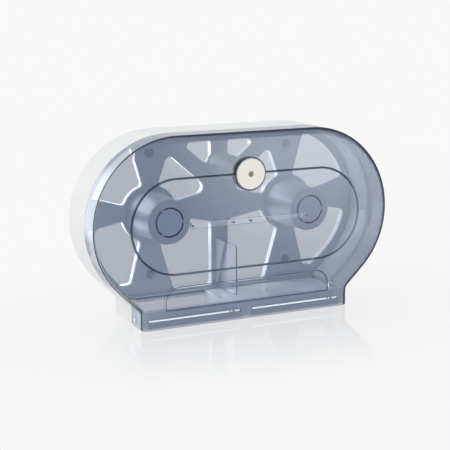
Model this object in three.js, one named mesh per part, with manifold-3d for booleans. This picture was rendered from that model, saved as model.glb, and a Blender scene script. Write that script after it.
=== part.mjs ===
// Double roll toilet paper dispenser: a white housing with a spoked back, two roll hubs, a sliding
// shutter, and a clear smoke cover that hinges at its foot and locks at the top.
// Lengths are millimetres. x runs to the right, y from the front towards the wall, and z up.
// Depths are measured from the flat front of the cover; the finished assembly is shifted so that
// the origin lies at the foot, under the middle of the whole depth.

import * as THREE from 'three';
import { mergeVertices } from 'three/addons/utils/BufferGeometryUtils.js';
import Module from 'manifold-3d';

const wasm = await Module();
wasm.setup();

// Overall form
const bodyDepth = 104;              // cover front to wall
const coverDepth = 41;              // cover front to its rear edge
const endRadius = 117.3;            // radius of the two round ends
const endSpacing = 199;             // distance between the centres of the round ends
const endHeight = 134.5;            // height of those centres
const chinWidth = 308;              // width over the straight foot
const flareAngle = 44;              // degrees, slope of the flanks between foot and round ends
const chinFilletRadius = 9;

// Walls, gaps and cuts
const wall = 2.5;
const gap = 0.3;                    // between pieces that touch
const overrun = 5;                  // how far a cutter runs past what it cuts

// Rolls and hubs
const hubSpacing = 210;
const hubHeight = 136;
const hubFrontDepth = 24.7;
const hubFrontRadius = 29.8;
const hubRearRadius = 32;
const hubNoseRadius = 3;
const spindleRadius = 17.5;
const spindleFlangeReach = 5;       // past the spindle's radius, in front of the web
const capRadius = 18.7;
const capThickness = 2.3;
const capStemRadius = 4;
const capStemLength = 8;
const capTabWidth = 3.4;
const capTabCount = 3;
const ringGap = 1.3;                // between the cap's rim and the hub's front ring
const hubFlangeThickness = 4;

// Back web
const webSetback = 10;              // from the web's front face to the wall
const webRibThickness = 2;
const rimWidth = 13.3;              // web left standing along the round ends
const topRimWidth = 23;
const hubRingRadius = 40;           // web ring round each hub
const centreSpokeWidth = 26;
const webFootHeight = 13;           // lower edge of the back web
const lowerHoleHeight = 26;
const cornerRadius = 7;             // rounded corners of the web's windows
const tightCornerShare = 0.7;
const upperInnerTipShares = [0.74, 0.86];     // of half the hub spacing, and of the height
const upperInnerNoseShares = [0.13, 0.64];
const topTipShare = 0.55;
const topFootShare = 0.764;
const lowerInnerTopShare = 0.467;
const lowerInnerFootShare = 0.67;
const lowerOuterFootShares = [0.87, 0.16];    // of half the foot's width, and of the height
const rimAngles = { upper: [18, 72], lower: [-46, -10] };     // degrees, window corners at the rim
const ringAngles = {                                          // and at the hub's ring
  upperOuter: [75, 20], lowerOuter: [-11, -70], upperInner: [108, 159], lowerInner: [193, 251],
};
const rearEdgeRadius = 3;
const sideRibHeight = 121.3;        // thin rib along each inner side, from front to web
const sideRibSize = 0.9;

// Screw bosses, closed at the front until they are drilled for the wall
const bossRadius = 6.5;
const bossRise = 2.2;
const upperBossDrop = 32.3;         // from the top of the body down to the upper bosses
const lowerBossHeight = 51;
const bossSpacing = 210;

// Cover
const coverEdgeRadius = 9;
const panelRise = 2;                // raised oval panel
const panelRadius = 64.1;
const panelSpacing = 210;
const panelSlope = 1.4;
const reliefDepth = 1.2;            // sunk panel over the paper outlet
const reliefWidth = 242.6;
const reliefTopHeight = 54.5;
const bandTopHeight = 24;           // foot of the sunk panel, top of the plain band
const reliefCornerRadius = 20;
const tongueReach = 4.5;            // housing edge that reaches inside the cover
const tongueThickness = 1.6;
const tongueFootHeight = 100;

// Name strip on the oval panel
const stripLength = 174;
const stripHeight = 7.5;
const stripThickness = 2;
const stripSink = 1.2;
const stripPinRadius = 1.4;
const stripPinSpan = 168;
const stripPinShares = [-1, -0.3, 0, 0.3, 1];

// Lock
const lockHeight = 196.8;
const lockDiscRadius = 20.5;
const lockDiscProud = 3.6;          // the disc stands out past the cover front
const lockWellDepth = 5.5;
const collarWall = 2;
const collarProud = 2.6;
const barrelRadius = 9;
const barrelEndDepth = 15;
const nutRadius = 14;
const nutThickness = 4;
const plugRadius = 3.6;
const plugSink = 0.6;
const camLength = 24;
const camWidth = 8;
const camThickness = 2;
const camDepth = 22.6;              // depth of the cam's front face
const camScrewRadius = 3;
const camScrewHeadThickness = 1.6;
const camScrewShankRadius = 1.4;
const towerRadius = 17;
const towerFrontDepth = 19;
const slotPlay = 2;                 // round the cam in the tower's slot

// Chin frame, hinge and shutter
const railFrontDepth = 7;
const railCornerRadius = 5;
const cheekThickness = 4;
const cheekReach = 16;              // of the cheeks, into the housing
const ledgeTopHeight = 18.7;
const ledgeThickness = 2.5;
const frontLedgeReach = 12;         // from the rail's front face towards the wall
const frontLipReach = 8;
const rearLedgeReach = 6;
const lipThickness = 2;
const hingeDepth = 32;
const hingePinRadius = 2.5;
const hingeHeadRadius = 4.5;
const hingeHeadThickness = 1.2;
const shutterLength = 172;
const shutterPlay = 2;              // left at the end of its travel
const shutterPlateThickness = 2;
const shutterWallHeight = 13.5;
const shutterWall = 1.8;

// Tear bars in the cover's foot
const tearBarLength = 116;
const tearBarPitch = 150;           // from the first bar to the second
const tearBarStart = -146;          // left end of the first bar
const tearRibHeight = 2.2;
const tearRibLevel = 12.6;          // height of the rib's middle
const tearPlateThickness = 1.2;
const tearToothDepth = 1.8;
const tearToothPitch = 4;
const tearFootHeight = 1.2;
const tearTailLength = 20;          // of the blade past its rib, with a peg and a catch in it
const tearPegRadius = 1.3;
const tearPegSpace = 3;             // from the rib's end to the peg
const tearCatchSpace = 8.5;         // from the rib's end to the catch
const tearCatchLength = 6.5;
const tearCatchHeight = 1.6;
const tearCatchPlay = 1.6;          // round the catch in its window

// Roll divider
const dividerFrontDepth = 34;
const dividerTopHeight = 92.5;
const dividerThickness = 2;
const dividerCornerRadius = 6;
const gussetReach = 30;
const gussetThickness = 2.5;
const gussetSide = 7;               // the gusset's left face, left of the middle

// Facets
const endArcSteps = 18;
const filletSteps = 4;
const edgeSteps = 4;
const rimSteps = 4;
const ringSteps = 3;
const nutSides = 6;
const roundSteps = 32;
const smallRoundSteps = 16;

// Sizes that follow
const rimShift = endSpacing / 2;
const chinHalf = chinWidth / 2;
const bodyHeight = endHeight + endRadius;
const hubX = hubSpacing / 2;
const webDepth = bodyDepth - webSetback;
const upperBossHeight = bodyHeight - upperBossDrop;
const housingFrontDepth = coverDepth + gap;
const webBackDepth = webDepth + wall;
const hingeHeight = coverDepth - hingeDepth;
const footInside = chinHalf - wall;     // inner face of the straight foot's sides
const cheekOuter = footInside - 2 * gap;
const cheekInner = cheekOuter - cheekThickness;
const shutterFloorHeight = ledgeTopHeight + gap;
const shutterTopHeight = shutterFloorHeight + shutterPlateThickness;
const lipFootHeight = shutterTopHeight + gap;
const lipTopHeight = lipFootHeight + lipThickness;
const shutterEnd = cheekInner - shutterPlay;
const spindleFrontDepth = hubFrontDepth + capThickness + gap;
const lockDiscFront = -lockDiscProud;
const originDepth = (bodyDepth + lockDiscFront) / 2;

const material = (color, roughness, extra = {}) =>
  new THREE.MeshStandardMaterial({ color, roughness, metalness: 0, ...extra });
const white = material(0xe9e9e4, 0.35);
const smoke = material(0x8f9ab4, 0.08, { transparent: true, opacity: 0.45 });
const clear = material(0xdfe4ec, 0.08, { transparent: true, opacity: 0.5 });
const steel = material(0xa9adb2, 0.3, { metalness: 1 });
const brass = material(0x77735a, 0.45, { metalness: 0.6 });

// Outlines in the x, z plane

const at = (x, z) => new THREE.Vector2(x, z);
const turned = (degrees) => THREE.MathUtils.degToRad(degrees);

function arc(x, z, radius, from, to, steps) {
  return Array.from({ length: steps + 1 }, (_, i) => {
    const angle = turned(from + (to - from) * i / steps);
    return at(x + radius * Math.cos(angle), z + radius * Math.sin(angle));
  });
}

function mirrored(points) {
  return points.map((p) => at(-p.x, p.y)).reverse();
}

// The body's outline, drawn in by an inset; the foot line stays where it is.
function bodyOutline(inset, foot = 0) {
  const side = chinHalf - inset;
  const fillet = chinFilletRadius + inset;
  const tangentAngle = flareAngle - 90;
  const ends = arc(rimShift, endHeight, endRadius - inset, tangentAngle, 90, endArcSteps);
  const start = ends[0];
  const run = start.x - side;
  const corner = start.y - run * Math.tan(turned(flareAngle));
  const filletFoot = corner - fillet * Math.tan(turned((90 - flareAngle) / 2));
  const chin = arc(side + fillet, filletFoot, fillet, 180, 90 + flareAngle, filletSteps);
  const right = [at(side, foot), ...chin, ...ends];
  return [...right, ...mirrored(right)];
}

function stadium(radius, spacing, height) {
  const right = arc(spacing / 2, height, radius, -90, 90, endArcSteps);
  return [...right, ...mirrored(right)];
}

// A polygon of corners [x, z, radius]. Each corner is rounded, and grow moves every side outwards.
function roundedPolygon(corners, grow = 0) {
  const points = corners.map(([x, z]) => at(x, z));
  const turn = Math.sign(THREE.ShapeUtils.area(points));
  const count = points.length;
  const sides = points.map((p, i) => {
    const along = points[(i + 1) % count].clone().sub(p).normalize();
    return { along, start: p.clone().addScaledVector(at(along.y, -along.x), turn * grow) };
  });
  return corners.flatMap(([, , radius = 0], i) => {
    const before = sides[(i + count - 1) % count];
    const after = sides[i];
    const cross = before.along.cross(after.along);
    const reach = after.start.clone().sub(before.start).cross(after.along) / cross;
    const corner = before.start.clone().addScaledVector(before.along, reach);
    const bulges = Math.sign(cross) === turn;
    const rounding = radius > 0 ? radius + (bulges ? grow : -grow) : 0;
    if (rounding <= 0) return [corner];
    const angle = Math.atan2(cross, before.along.dot(after.along));
    const cut = rounding * Math.tan(Math.abs(angle) / 2);
    const from = corner.clone().addScaledVector(before.along, -cut);
    const side = Math.sign(angle);
    const centre = from.clone().add(at(-before.along.y, before.along.x).multiplyScalar(side * rounding));
    return Array.from({ length: filletSteps + 1 }, (_, k) =>
      from.clone().rotateAround(centre, angle * k / filletSteps));
  });
}

const rectangle = (x0, x1, z0, z1, radius = 0) =>
  roundedPolygon([[x0, z0, radius], [x1, z0, radius], [x1, z1, radius], [x0, z1, radius]]);

// Solids

function solid(geometry) {
  const bare = geometry.index ? geometry.toNonIndexed() : geometry.clone();
  bare.deleteAttribute('normal');
  bare.deleteAttribute('uv');
  const merged = mergeVertices(bare);
  const triVerts = new Uint32Array(merged.index.array);
  const vertProperties = new Float32Array(merged.attributes.position.array);
  return new wasm.Manifold(new wasm.Mesh({ numProp: 3, vertProperties, triVerts }));
}

const join = (first, ...others) => others.reduce((sum, other) => sum.add(other), first);
const cut = (first, ...others) => others.reduce((rest, other) => rest.subtract(other), first);

function named(name, body, look) {
  const mesh = body.getMesh();
  const geometry = new THREE.BufferGeometry();
  const stride = mesh.numProp;
  const positions = [];
  for (let i = 0; i < mesh.vertProperties.length; i += stride) {
    positions.push(...mesh.vertProperties.slice(i, i + 3));
  }
  geometry.setAttribute('position', new THREE.Float32BufferAttribute(positions, 3));
  geometry.setIndex([...mesh.triVerts]);
  geometry.computeVertexNormals();
  const piece = new THREE.Mesh(geometry, look);
  piece.name = name;
  return piece;
}

// An outline in x, z pushed along y from one depth to another.
function plate(points, from, to) {
  const geometry = new THREE.ExtrudeGeometry(new THREE.Shape(points), {
    depth: to - from, bevelEnabled: false,
  });
  return solid(geometry.rotateX(Math.PI / 2).translate(0, to, 0));
}

// An outline in x, y pushed upwards from one height to another.
function slab(points, from, to) {
  const geometry = new THREE.ExtrudeGeometry(new THREE.Shape(points), {
    depth: to - from, bevelEnabled: false,
  });
  return solid(geometry.translate(0, 0, from));
}

// An outline in y, z pushed along x from one side to the other.
function bar(points, from, to) {
  const geometry = new THREE.ExtrudeGeometry(new THREE.Shape(points), {
    depth: to - from, bevelEnabled: false,
  });
  const upright = new THREE.Matrix4().makeBasis(
    new THREE.Vector3(0, 1, 0), new THREE.Vector3(0, 0, 1), new THREE.Vector3(1, 0, 0));
  return solid(geometry.applyMatrix4(upright).translate(from, 0, 0));
}

// A loft through rings of equally many points, given as { depth, points } from front to back.
function loft(rings) {
  const count = rings[0].points.length;
  const positions = rings.flatMap(({ depth, points }) => points.flatMap((p) => [p.x, depth, p.y]));
  const index = [];
  for (let r = 0; r + 1 < rings.length; r += 1) {
    for (let i = 0; i < count; i += 1) {
      const a = r * count + i;
      const b = r * count + (i + 1) % count;
      index.push(a, a + count, b, b, a + count, b + count);
    }
  }
  const last = (rings.length - 1) * count;
  for (const [a, b, c] of THREE.ShapeUtils.triangulateShape(rings[0].points, [])) index.push(a, b, c);
  for (const [a, b, c] of THREE.ShapeUtils.triangulateShape(rings.at(-1).points, [])) {
    index.push(last + a, last + c, last + b);
  }
  const geometry = new THREE.BufferGeometry();
  geometry.setAttribute('position', new THREE.Float32BufferAttribute(positions, 3));
  geometry.setIndex(index);
  return solid(geometry);
}

// A turned piece about an axis along y. The profile holds [radius, depth] pairs and runs from the
// axis back to the axis, or closes on itself.
function turnedPiece(profile, x, z, steps = roundSteps) {
  const points = profile.map(([radius, depth]) => at(radius, depth));
  return solid(new THREE.LatheGeometry(points, steps).translate(x, 0, z));
}

const rod = (radius, from, to, x, z, steps = smallRoundSteps) =>
  turnedPiece([[0, from], [radius, from], [radius, to], [0, to]], x, z, steps);

const crossRod = (radius, from, to, y, z) => {
  const points = [at(0, from), at(radius, from), at(radius, to), at(0, to)];
  const geometry = new THREE.LatheGeometry(points, smallRoundSteps);
  return solid(geometry.rotateZ(-Math.PI / 2).translate(0, y, z));
};

const bothSides = (body) => join(body, body.mirror([1, 0, 0]));

// Insets of a rounded edge, from the flat face out to the full outline
function edgeRings(radius, inset, depth, foot, depthSign = 1) {
  return Array.from({ length: edgeSteps + 1 }, (_, i) => {
    const angle = turned(90 * i / edgeSteps);
    return {
      depth: depth + depthSign * radius * (1 - Math.cos(angle)),
      points: bodyOutline(inset + radius * (1 - Math.sin(angle)), foot),
    };
  });
}

// Back web

const hubPoint = (angle, reach = hubRingRadius) =>
  at(hubX + reach * Math.cos(turned(angle)), hubHeight + reach * Math.sin(turned(angle)));
const rimPoint = (angle) => {
  const reach = endRadius - rimWidth;
  return at(rimShift + reach * Math.cos(turned(angle)), endHeight + reach * Math.sin(turned(angle)));
};
const spread = (from, to, steps) =>
  Array.from({ length: steps + 1 }, (_, i) => from + (to - from) * i / steps);
const corner = (point, radius = 0) => [point.x, point.y, radius];

// Corners at the ends of a curve are rounded; those along it have no rounding.
function alongCurve(place, [from, to], steps, radius) {
  return spread(from, to, steps).map((angle, i) =>
    corner(place(angle), i === 0 || i === steps ? radius : 0));
}

const alongRim = (angles) => alongCurve(rimPoint, angles, rimSteps, cornerRadius);
const alongRing = (angles) => alongCurve(hubPoint, angles, ringSteps, tightCorner);

const tightCorner = cornerRadius * tightCornerShare;
const topWindowHeight = bodyHeight - topRimWidth;
const spokeSide = centreSpokeWidth / 2;
const flareFoot = bodyOutline(rimWidth)[1 + filletSteps];
const [upperInnerTip, upperInnerNose] = [upperInnerTipShares, upperInnerNoseShares]
  .map(([across, up]) => at(hubX * across, bodyHeight * up));
const [lowerOuterAcross, lowerOuterUp] = lowerOuterFootShares;
const lowerOuterFoot = at(chinHalf * lowerOuterAcross, bodyHeight * lowerOuterUp);

// Windows of the right half, as lists of rounded corners
const windows = [
  [...alongRim(rimAngles.upper), ...alongRing(ringAngles.upperOuter)],
  [
    ...alongRim(rimAngles.lower), ...alongRing(ringAngles.lowerOuter),
    corner(lowerOuterFoot, tightCorner), corner(at(flareFoot.x, flareFoot.y + wall), tightCorner),
  ],
  [
    ...alongRing(ringAngles.upperInner), corner(upperInnerNose, cornerRadius / tightCornerShare),
    corner(upperInnerTip, cornerRadius),
  ],
  [
    corner(at(hubX * topTipShare, topWindowHeight), tightCorner),
    corner(at(spokeSide, topWindowHeight), tightCorner / 2),
    corner(at(spokeSide, bodyHeight * topFootShare), cornerRadius),
  ],
  [
    ...alongRing(ringAngles.lowerInner),
    corner(at(hubX * lowerInnerFootShare, lowerHoleHeight), tightCorner),
    corner(at(spokeSide, lowerHoleHeight), tightCorner),
    corner(at(spokeSide, bodyHeight * lowerInnerTopShare), cornerRadius),
  ],
];

function webRibs() {
  return windows.map((corners) =>
    bothSides(plate(roundedPolygon(corners, webRibThickness), webDepth, bodyDepth)));
}

function webWindows() {
  return windows.map((corners) =>
    bothSides(plate(roundedPolygon(corners), webDepth - overrun, bodyDepth + overrun)));
}

function housingTub() {
  const rear = edgeRings(rearEdgeRadius, 0, bodyDepth, 0, -1).reverse();
  const outer = loft([{ depth: housingFrontDepth, points: bodyOutline(0) }, ...rear]);
  const inside = bodyOutline(wall, -overrun);
  const front = plate(inside, housingFrontDepth - overrun, webDepth);
  const back = plate(inside, webBackDepth, bodyDepth + overrun);
  const foot = plate(rectangle(-footInside, footInside, -overrun, webFootHeight),
    webDepth - overrun, bodyDepth + overrun);
  const footRib = plate(rectangle(-footInside - gap, footInside + gap, webFootHeight,
    webFootHeight + webRibThickness), webDepth, bodyDepth);
  return join(cut(outer, front, back, foot), footRib);
}

// A thin rib in depth on the inner face of each round end
function sideRibs() {
  const outside = plate(bodyOutline(wall / 2), housingFrontDepth, webDepth + gap);
  const inside = plate(bodyOutline(wall + sideRibSize), housingFrontDepth - overrun, webDepth + overrun);
  const level = plate(rectangle(-bodyHeight, bodyHeight, sideRibHeight,
    sideRibHeight + sideRibSize), housingFrontDepth, webDepth + gap);
  return cut(outside, inside).intersect(level);
}

// Edge of the housing that reaches inside the cover, above the round ends' flanks only
function tongue() {
  const outer = wall + 2 * gap;
  const from = housingFrontDepth - tongueReach;
  const to = housingFrontDepth + tongueReach;
  const top = rectangle(-bodyHeight, bodyHeight, tongueFootHeight, bodyHeight + overrun);
  const ring = cut(
    plate(bodyOutline(outer), from, to),
    plate(bodyOutline(outer + tongueThickness), from - overrun, to + overrun));
  const collar = cut(
    plate(bodyOutline(wall / 2), housingFrontDepth, to),
    plate(bodyOutline(outer + tongueThickness), housingFrontDepth - overrun, to + overrun));
  return join(ring, collar).intersect(plate(top, from, to));
}

// A hollow spindle, pushed through the web from the front until its flange meets it
function spindle(x) {
  const inner = spindleRadius - wall;
  const flange = spindleRadius + spindleFlangeReach;
  const flangeBack = webDepth - gap;
  return turnedPiece([
    [capStemRadius + gap, spindleFrontDepth], [spindleRadius, spindleFrontDepth],
    [spindleRadius, flangeBack - wall], [flange, flangeBack - wall / 2], [flange, flangeBack],
    [spindleRadius, flangeBack], [spindleRadius, bodyDepth], [inner, bodyDepth],
    [inner, spindleFrontDepth + wall], [capStemRadius + gap, spindleFrontDepth + wall],
    [capStemRadius + gap, spindleFrontDepth],
  ], x, hubHeight);
}

// Raised ring behind the web that holds the spindle's rear end
const spindleSocket = (x) =>
  rod(spindleRadius + gap + wall, webDepth, bodyDepth, x, hubHeight, roundSteps);

const spindleHole = (x) =>
  rod(spindleRadius + gap, webDepth - overrun, bodyDepth + overrun, x, hubHeight, roundSteps);

function screwBoss(x, z) {
  return turnedPiece([
    [0, webDepth - bossRise], [bossRadius - bossRise, webDepth - bossRise], [bossRadius, webDepth],
    [bossRadius, bodyDepth], [bossRadius - wall, bodyDepth], [bossRadius - wall, webDepth],
    [0, webDepth],
  ], x, z, smallRoundSteps);
}

const bossBore = (x, z) =>
  rod(bossRadius - wall, webDepth, bodyDepth + overrun, x, z);

const bossPlaces = [-1, 1].flatMap((side) =>
  [upperBossHeight, lowerBossHeight].map((z) => [side * bossSpacing / 2, z]));

// Tower that the cam catches in: the slot lets it through upright, and its front wall holds it
const lockTower = () =>
  rod(towerRadius, towerFrontDepth, bodyDepth, 0, lockHeight, roundSteps);

const towerBore = () =>
  rod(towerRadius - wall, towerFrontDepth + wall, bodyDepth + overrun, 0, lockHeight, roundSteps);

function towerSlot() {
  const halfWidth = camWidth / 2 + gap + slotPlay / 2;
  const halfLength = camLength / 2 + slotPlay;
  return plate(
    rectangle(-halfWidth, halfWidth, lockHeight - halfLength, lockHeight + halfLength),
    towerFrontDepth - overrun, towerFrontDepth + wall + gap);
}

// U-shaped frame that carries the hinge pins and the shutter's front guide. Its cheeks reach
// into the housing, where they are fixed to the inside of the foot.
function chinFrame() {
  const back = housingFrontDepth + cheekReach;
  const foot = 2 * gap;
  const upright = slab(roundedPolygon([
    [-cheekOuter, railFrontDepth, railCornerRadius], [cheekOuter, railFrontDepth, railCornerRadius],
    [cheekOuter, back], [cheekInner, back], [cheekInner, railFrontDepth + wall],
    [-cheekInner, railFrontDepth + wall], [-cheekInner, back], [-cheekOuter, back],
  ]), foot, lipTopHeight);
  const shelf = (reach, from, to) => slab(
    rectangle(-cheekInner - gap, cheekInner + gap, railFrontDepth + gap, railFrontDepth + reach),
    from, to);
  const ledge = shelf(frontLedgeReach, ledgeTopHeight - ledgeThickness, ledgeTopHeight);
  const lip = shelf(frontLipReach, lipFootHeight, lipTopHeight);
  const root = slab(
    rectangle(cheekInner, footInside - gap, housingFrontDepth + gap, back), foot, lipTopHeight);
  const holes = crossRod(hingePinRadius + gap, cheekInner + wall / 2, cheekOuter + overrun,
    hingeDepth, hingeHeight);
  return cut(join(upright, ledge, lip, bothSides(root)), bothSides(holes));
}

function rearGuide() {
  const side = chinHalf - wall / 2;
  const shelf = (from, to) =>
    slab(rectangle(-side, side, webDepth - rearLedgeReach, webDepth + wall / 2), from, to);
  return join(
    shelf(ledgeTopHeight - ledgeThickness, ledgeTopHeight), shelf(lipFootHeight, lipTopHeight));
}

function gusset() {
  const profile = [
    at(webDepth + wall / 2, lipFootHeight), at(webDepth + wall / 2, dividerTopHeight),
    at(webDepth - gussetReach, dividerTopHeight), at(webDepth, lipFootHeight),
  ];
  return bar(profile, -gussetSide, gussetThickness - gussetSide);
}

function rearHousing() {
  const sockets = [-hubX, hubX].map(spindleSocket);
  const bosses = bossPlaces.map(([x, z]) => screwBoss(x, z));
  const web = cut(join(housingTub(), ...webRibs()), ...webWindows());
  const shell = join(web, tongue(), sideRibs());
  const carried = join(shell, ...sockets, ...bosses, lockTower(), rearGuide(), gusset());
  const holes = [-hubX, hubX].map(spindleHole);
  const bossBores = bossPlaces.map(([x, z]) => bossBore(x, z));
  return cut(carried, ...holes, ...bossBores, towerBore(), towerSlot());
}

// Roll hubs

function hubSleeve(x) {
  const rearDepth = webDepth - gap;
  const bore = spindleRadius + gap;
  const recess = capRadius + ringGap;
  const flangeDepth = hubFrontDepth + capThickness + gap;
  const flangeEnd = flangeDepth + hubFlangeThickness;
  const nose = arc(hubFrontRadius - hubNoseRadius, hubFrontDepth + hubNoseRadius, hubNoseRadius,
    -90, 0, filletSteps).map((p) => [p.x, p.y]);
  const foot = hubRearRadius + wall;
  return turnedPiece([
    [recess, hubFrontDepth], ...nose, [hubRearRadius, rearDepth - wall], [foot, rearDepth],
    [hubRearRadius - wall, rearDepth], [hubFrontRadius - wall, flangeEnd],
    [bore, flangeEnd], [bore, flangeDepth], [recess, flangeDepth], [recess, hubFrontDepth],
  ], x, hubHeight);
}

function spindleCap(x) {
  const back = hubFrontDepth + capThickness;
  const disc = rod(capRadius, hubFrontDepth, back, x, hubHeight, roundSteps);
  const stem = rod(capStemRadius, back - gap, back + capStemLength, x, hubHeight);
  const reach = capRadius + ringGap - gap;
  const tabs = Array.from({ length: capTabCount }, (_, i) => {
    const half = capTabWidth / 2;
    const angle = 2 * Math.PI * i / capTabCount;
    const points = rectangle(0, reach, -half, half)
      .map((p) => p.rotateAround(at(0, 0), angle).add(at(x, hubHeight)));
    return plate(points, hubFrontDepth, back);
  });
  return join(disc, stem, ...tabs);
}

// Cover

function reliefCorners(grow) {
  const half = reliefWidth / 2;
  return roundedPolygon([
    [-half, bandTopHeight], [half, bandTopHeight],
    [half, reliefTopHeight, reliefCornerRadius], [-half, reliefTopHeight, reliefCornerRadius],
  ], grow);
}

function coverShell() {
  const outer = loft([
    ...edgeRings(coverEdgeRadius, 0, 0, 0), { depth: coverDepth, points: bodyOutline(0) },
  ]);
  const inner = loft([
    ...edgeRings(coverEdgeRadius - wall, wall, wall, -overrun),
    { depth: coverDepth + overrun, points: bodyOutline(wall, -overrun) },
  ]);
  const raised = loft([
    { depth: -panelRise, points: stadium(panelRadius - panelSlope, panelSpacing, endHeight) },
    { depth: gap, points: stadium(panelRadius, panelSpacing, endHeight) },
  ]);
  const raisedInner = plate(stadium(panelRadius - wall, panelSpacing, endHeight),
    wall - panelRise, wall + gap);
  const relief = plate(reliefCorners(0), -overrun, reliefDepth);
  const backing = plate(reliefCorners(wall), 0, wall + reliefDepth);
  const hollow = join(cut(inner, backing), raisedInner);
  return cut(join(outer, raised), hollow, relief);
}

// Rear lower corners of the cover run on a curve about the hinge axis, so that it can swing
function hingeEars() {
  const swept = arc(hingeDepth, hingeHeight, hingeHeight, -90, 0, filletSteps);
  const outside = [
    at(hingeDepth, -overrun), at(coverDepth + overrun, -overrun),
    at(coverDepth + overrun, hingeHeight), ...swept.reverse(),
  ];
  return bar(outside, -chinHalf - overrun, chinHalf + overrun);
}

function lockWell() {
  const outer = lockDiscRadius + gap + collarWall;
  return rod(outer, -collarProud, lockWellDepth + wall, 0, lockHeight, roundSteps);
}

function frontCover() {
  const wellBore = rod(lockDiscRadius + gap, -overrun, lockWellDepth, 0, lockHeight, roundSteps);
  const barrelBore = rod(barrelRadius + gap, 0, lockWellDepth + overrun, 0, lockHeight);
  const half = stripLength / 2;
  const halfHeight = stripHeight / 2 + gap;
  const stripBed = plate(
    rectangle(-half - gap, half + gap, endHeight - halfHeight, endHeight + halfHeight),
    -overrun, stripSink - panelRise);
  const pinHoles = stripPinShares.map((share) =>
    rod(stripPinRadius + gap, -overrun, wall + overrun, share * stripPinSpan / 2, endHeight));
  const hingeHoles = bothSides(join(
    crossRod(hingePinRadius + gap, cheekOuter - overrun, chinHalf + overrun, hingeDepth, hingeHeight),
    crossRod(hingeHeadRadius + gap, chinHalf - hingeHeadThickness - gap, chinHalf + overrun,
      hingeDepth, hingeHeight)));
  return cut(join(coverShell(), lockWell()),
    wellBore, barrelBore, stripBed, ...pinHoles, hingeHoles, hingeEars(),
    ...tearBarPlaces.flatMap(tearBarHoles));
}

// Slot for a tear bar's rib, hole for its peg, and window for its catch
function tearBarHoles(x) {
  const end = x + tearBarLength;
  const half = tearRibHeight / 2 + gap;
  const catchStart = end + tearCatchSpace - tearCatchPlay;
  const catchEnd = end + tearCatchSpace + tearCatchLength + tearCatchPlay;
  const catchHalf = tearCatchHeight / 2 + tearCatchPlay / 2;
  return [
    plate(rectangle(x - gap, end + gap, tearRibLevel - half, tearRibLevel + half),
      -overrun, wall + overrun),
    rod(tearPegRadius + gap, -overrun, wall + overrun, end + tearPegSpace, tearRibLevel),
    plate(rectangle(catchStart, catchEnd, tearRibLevel - catchHalf, tearRibLevel + catchHalf),
      -overrun, wall + overrun),
  ];
}

// Lock

function lockBody() {
  const back = lockWellDepth - gap;
  const edge = gap + gap;
  const disc = turnedPiece([
    [0, lockDiscFront], [lockDiscRadius - edge, lockDiscFront], [lockDiscRadius, lockDiscFront + edge],
    [lockDiscRadius, back], [barrelRadius, back], [barrelRadius, barrelEndDepth], [0, barrelEndDepth],
  ], 0, lockHeight);
  return cut(disc, rod(plugRadius + gap, lockDiscFront - overrun, barrelEndDepth + overrun, 0, lockHeight));
}

function lockNut() {
  const front = lockWellDepth + wall + gap;
  const nut = rod(nutRadius, front, front + nutThickness, 0, lockHeight, nutSides);
  return cut(nut, rod(barrelRadius + gap, front - overrun, front + nutThickness + overrun, 0, lockHeight));
}

function lockPlug() {
  const rear = camDepth - gap;
  const plug = rod(plugRadius, lockDiscFront + plugSink, rear, 0, lockHeight);
  return cut(plug, rod(camScrewShankRadius + gap, barrelEndDepth, camDepth + overrun, 0, lockHeight));
}

function lockCam() {
  const half = camWidth / 2;
  const blade = plate(
    rectangle(-half, half, lockHeight - camLength / 2, lockHeight + camLength / 2, half - gap),
    camDepth, camDepth + camThickness);
  return cut(blade, rod(camScrewShankRadius + gap, camDepth - overrun, camDepth + overrun, 0, lockHeight));
}

function camScrew() {
  const head = camDepth + camThickness + gap;
  return join(
    rod(camScrewRadius, head, head + camScrewHeadThickness, 0, lockHeight),
    rod(camScrewShankRadius, barrelEndDepth + gap, head + gap, 0, lockHeight));
}

// Strip, pins and tear bars

function nameStrip() {
  const half = stripLength / 2;
  const back = stripSink - panelRise - gap;
  const halfHeight = stripHeight / 2;
  const strip = plate(
    rectangle(-half, half, endHeight - halfHeight, endHeight + halfHeight, halfHeight / 2),
    back - stripThickness, back);
  const holes = stripPinShares.map((share) =>
    rod(stripPinRadius + gap, back - overrun, back + overrun, share * stripPinSpan / 2, endHeight));
  return cut(strip, ...holes);
}

function stripPin(share) {
  const front = stripSink - panelRise - gap - stripThickness;
  return rod(stripPinRadius, front, wall, share * stripPinSpan / 2, endHeight);
}

const tearBarPlaces = [0, 1].map((i) => tearBarStart + i * tearBarPitch);

function tearBar(x) {
  const front = wall + gap;
  const top = tearRibLevel + tearRibHeight / 2;
  const ribEnd = x + tearBarLength;
  const bladeLength = tearBarLength + tearTailLength;
  const teeth = Math.round(bladeLength / tearToothPitch);
  const pitch = bladeLength / teeth;
  const edge = Array.from({ length: teeth }, (_, i) => [
    at(x + i * pitch, tearFootHeight + tearToothDepth), at(x + (i + 1 / 2) * pitch, tearFootHeight),
  ]).flat();
  const blade = plate([
    ...edge, at(x + bladeLength, tearFootHeight + tearToothDepth), at(x + bladeLength, top),
    at(x, top),
  ], front, front + tearPlateThickness);
  const rib = plate(rectangle(x, ribEnd, top - tearRibHeight, top), 0, front + gap);
  const peg = rod(tearPegRadius, 0, front + gap, ribEnd + tearPegSpace, tearRibLevel);
  const catchStart = ribEnd + tearCatchSpace;
  const catchHalf = tearCatchHeight / 2;
  const catchPiece = plate(rectangle(catchStart, catchStart + tearCatchLength,
    tearRibLevel - catchHalf, tearRibLevel + catchHalf), 0, front + gap);
  return join(blade, rib, peg, catchPiece);
}

// Shutter: an upside-down tray whose top edges run in the guides

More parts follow.
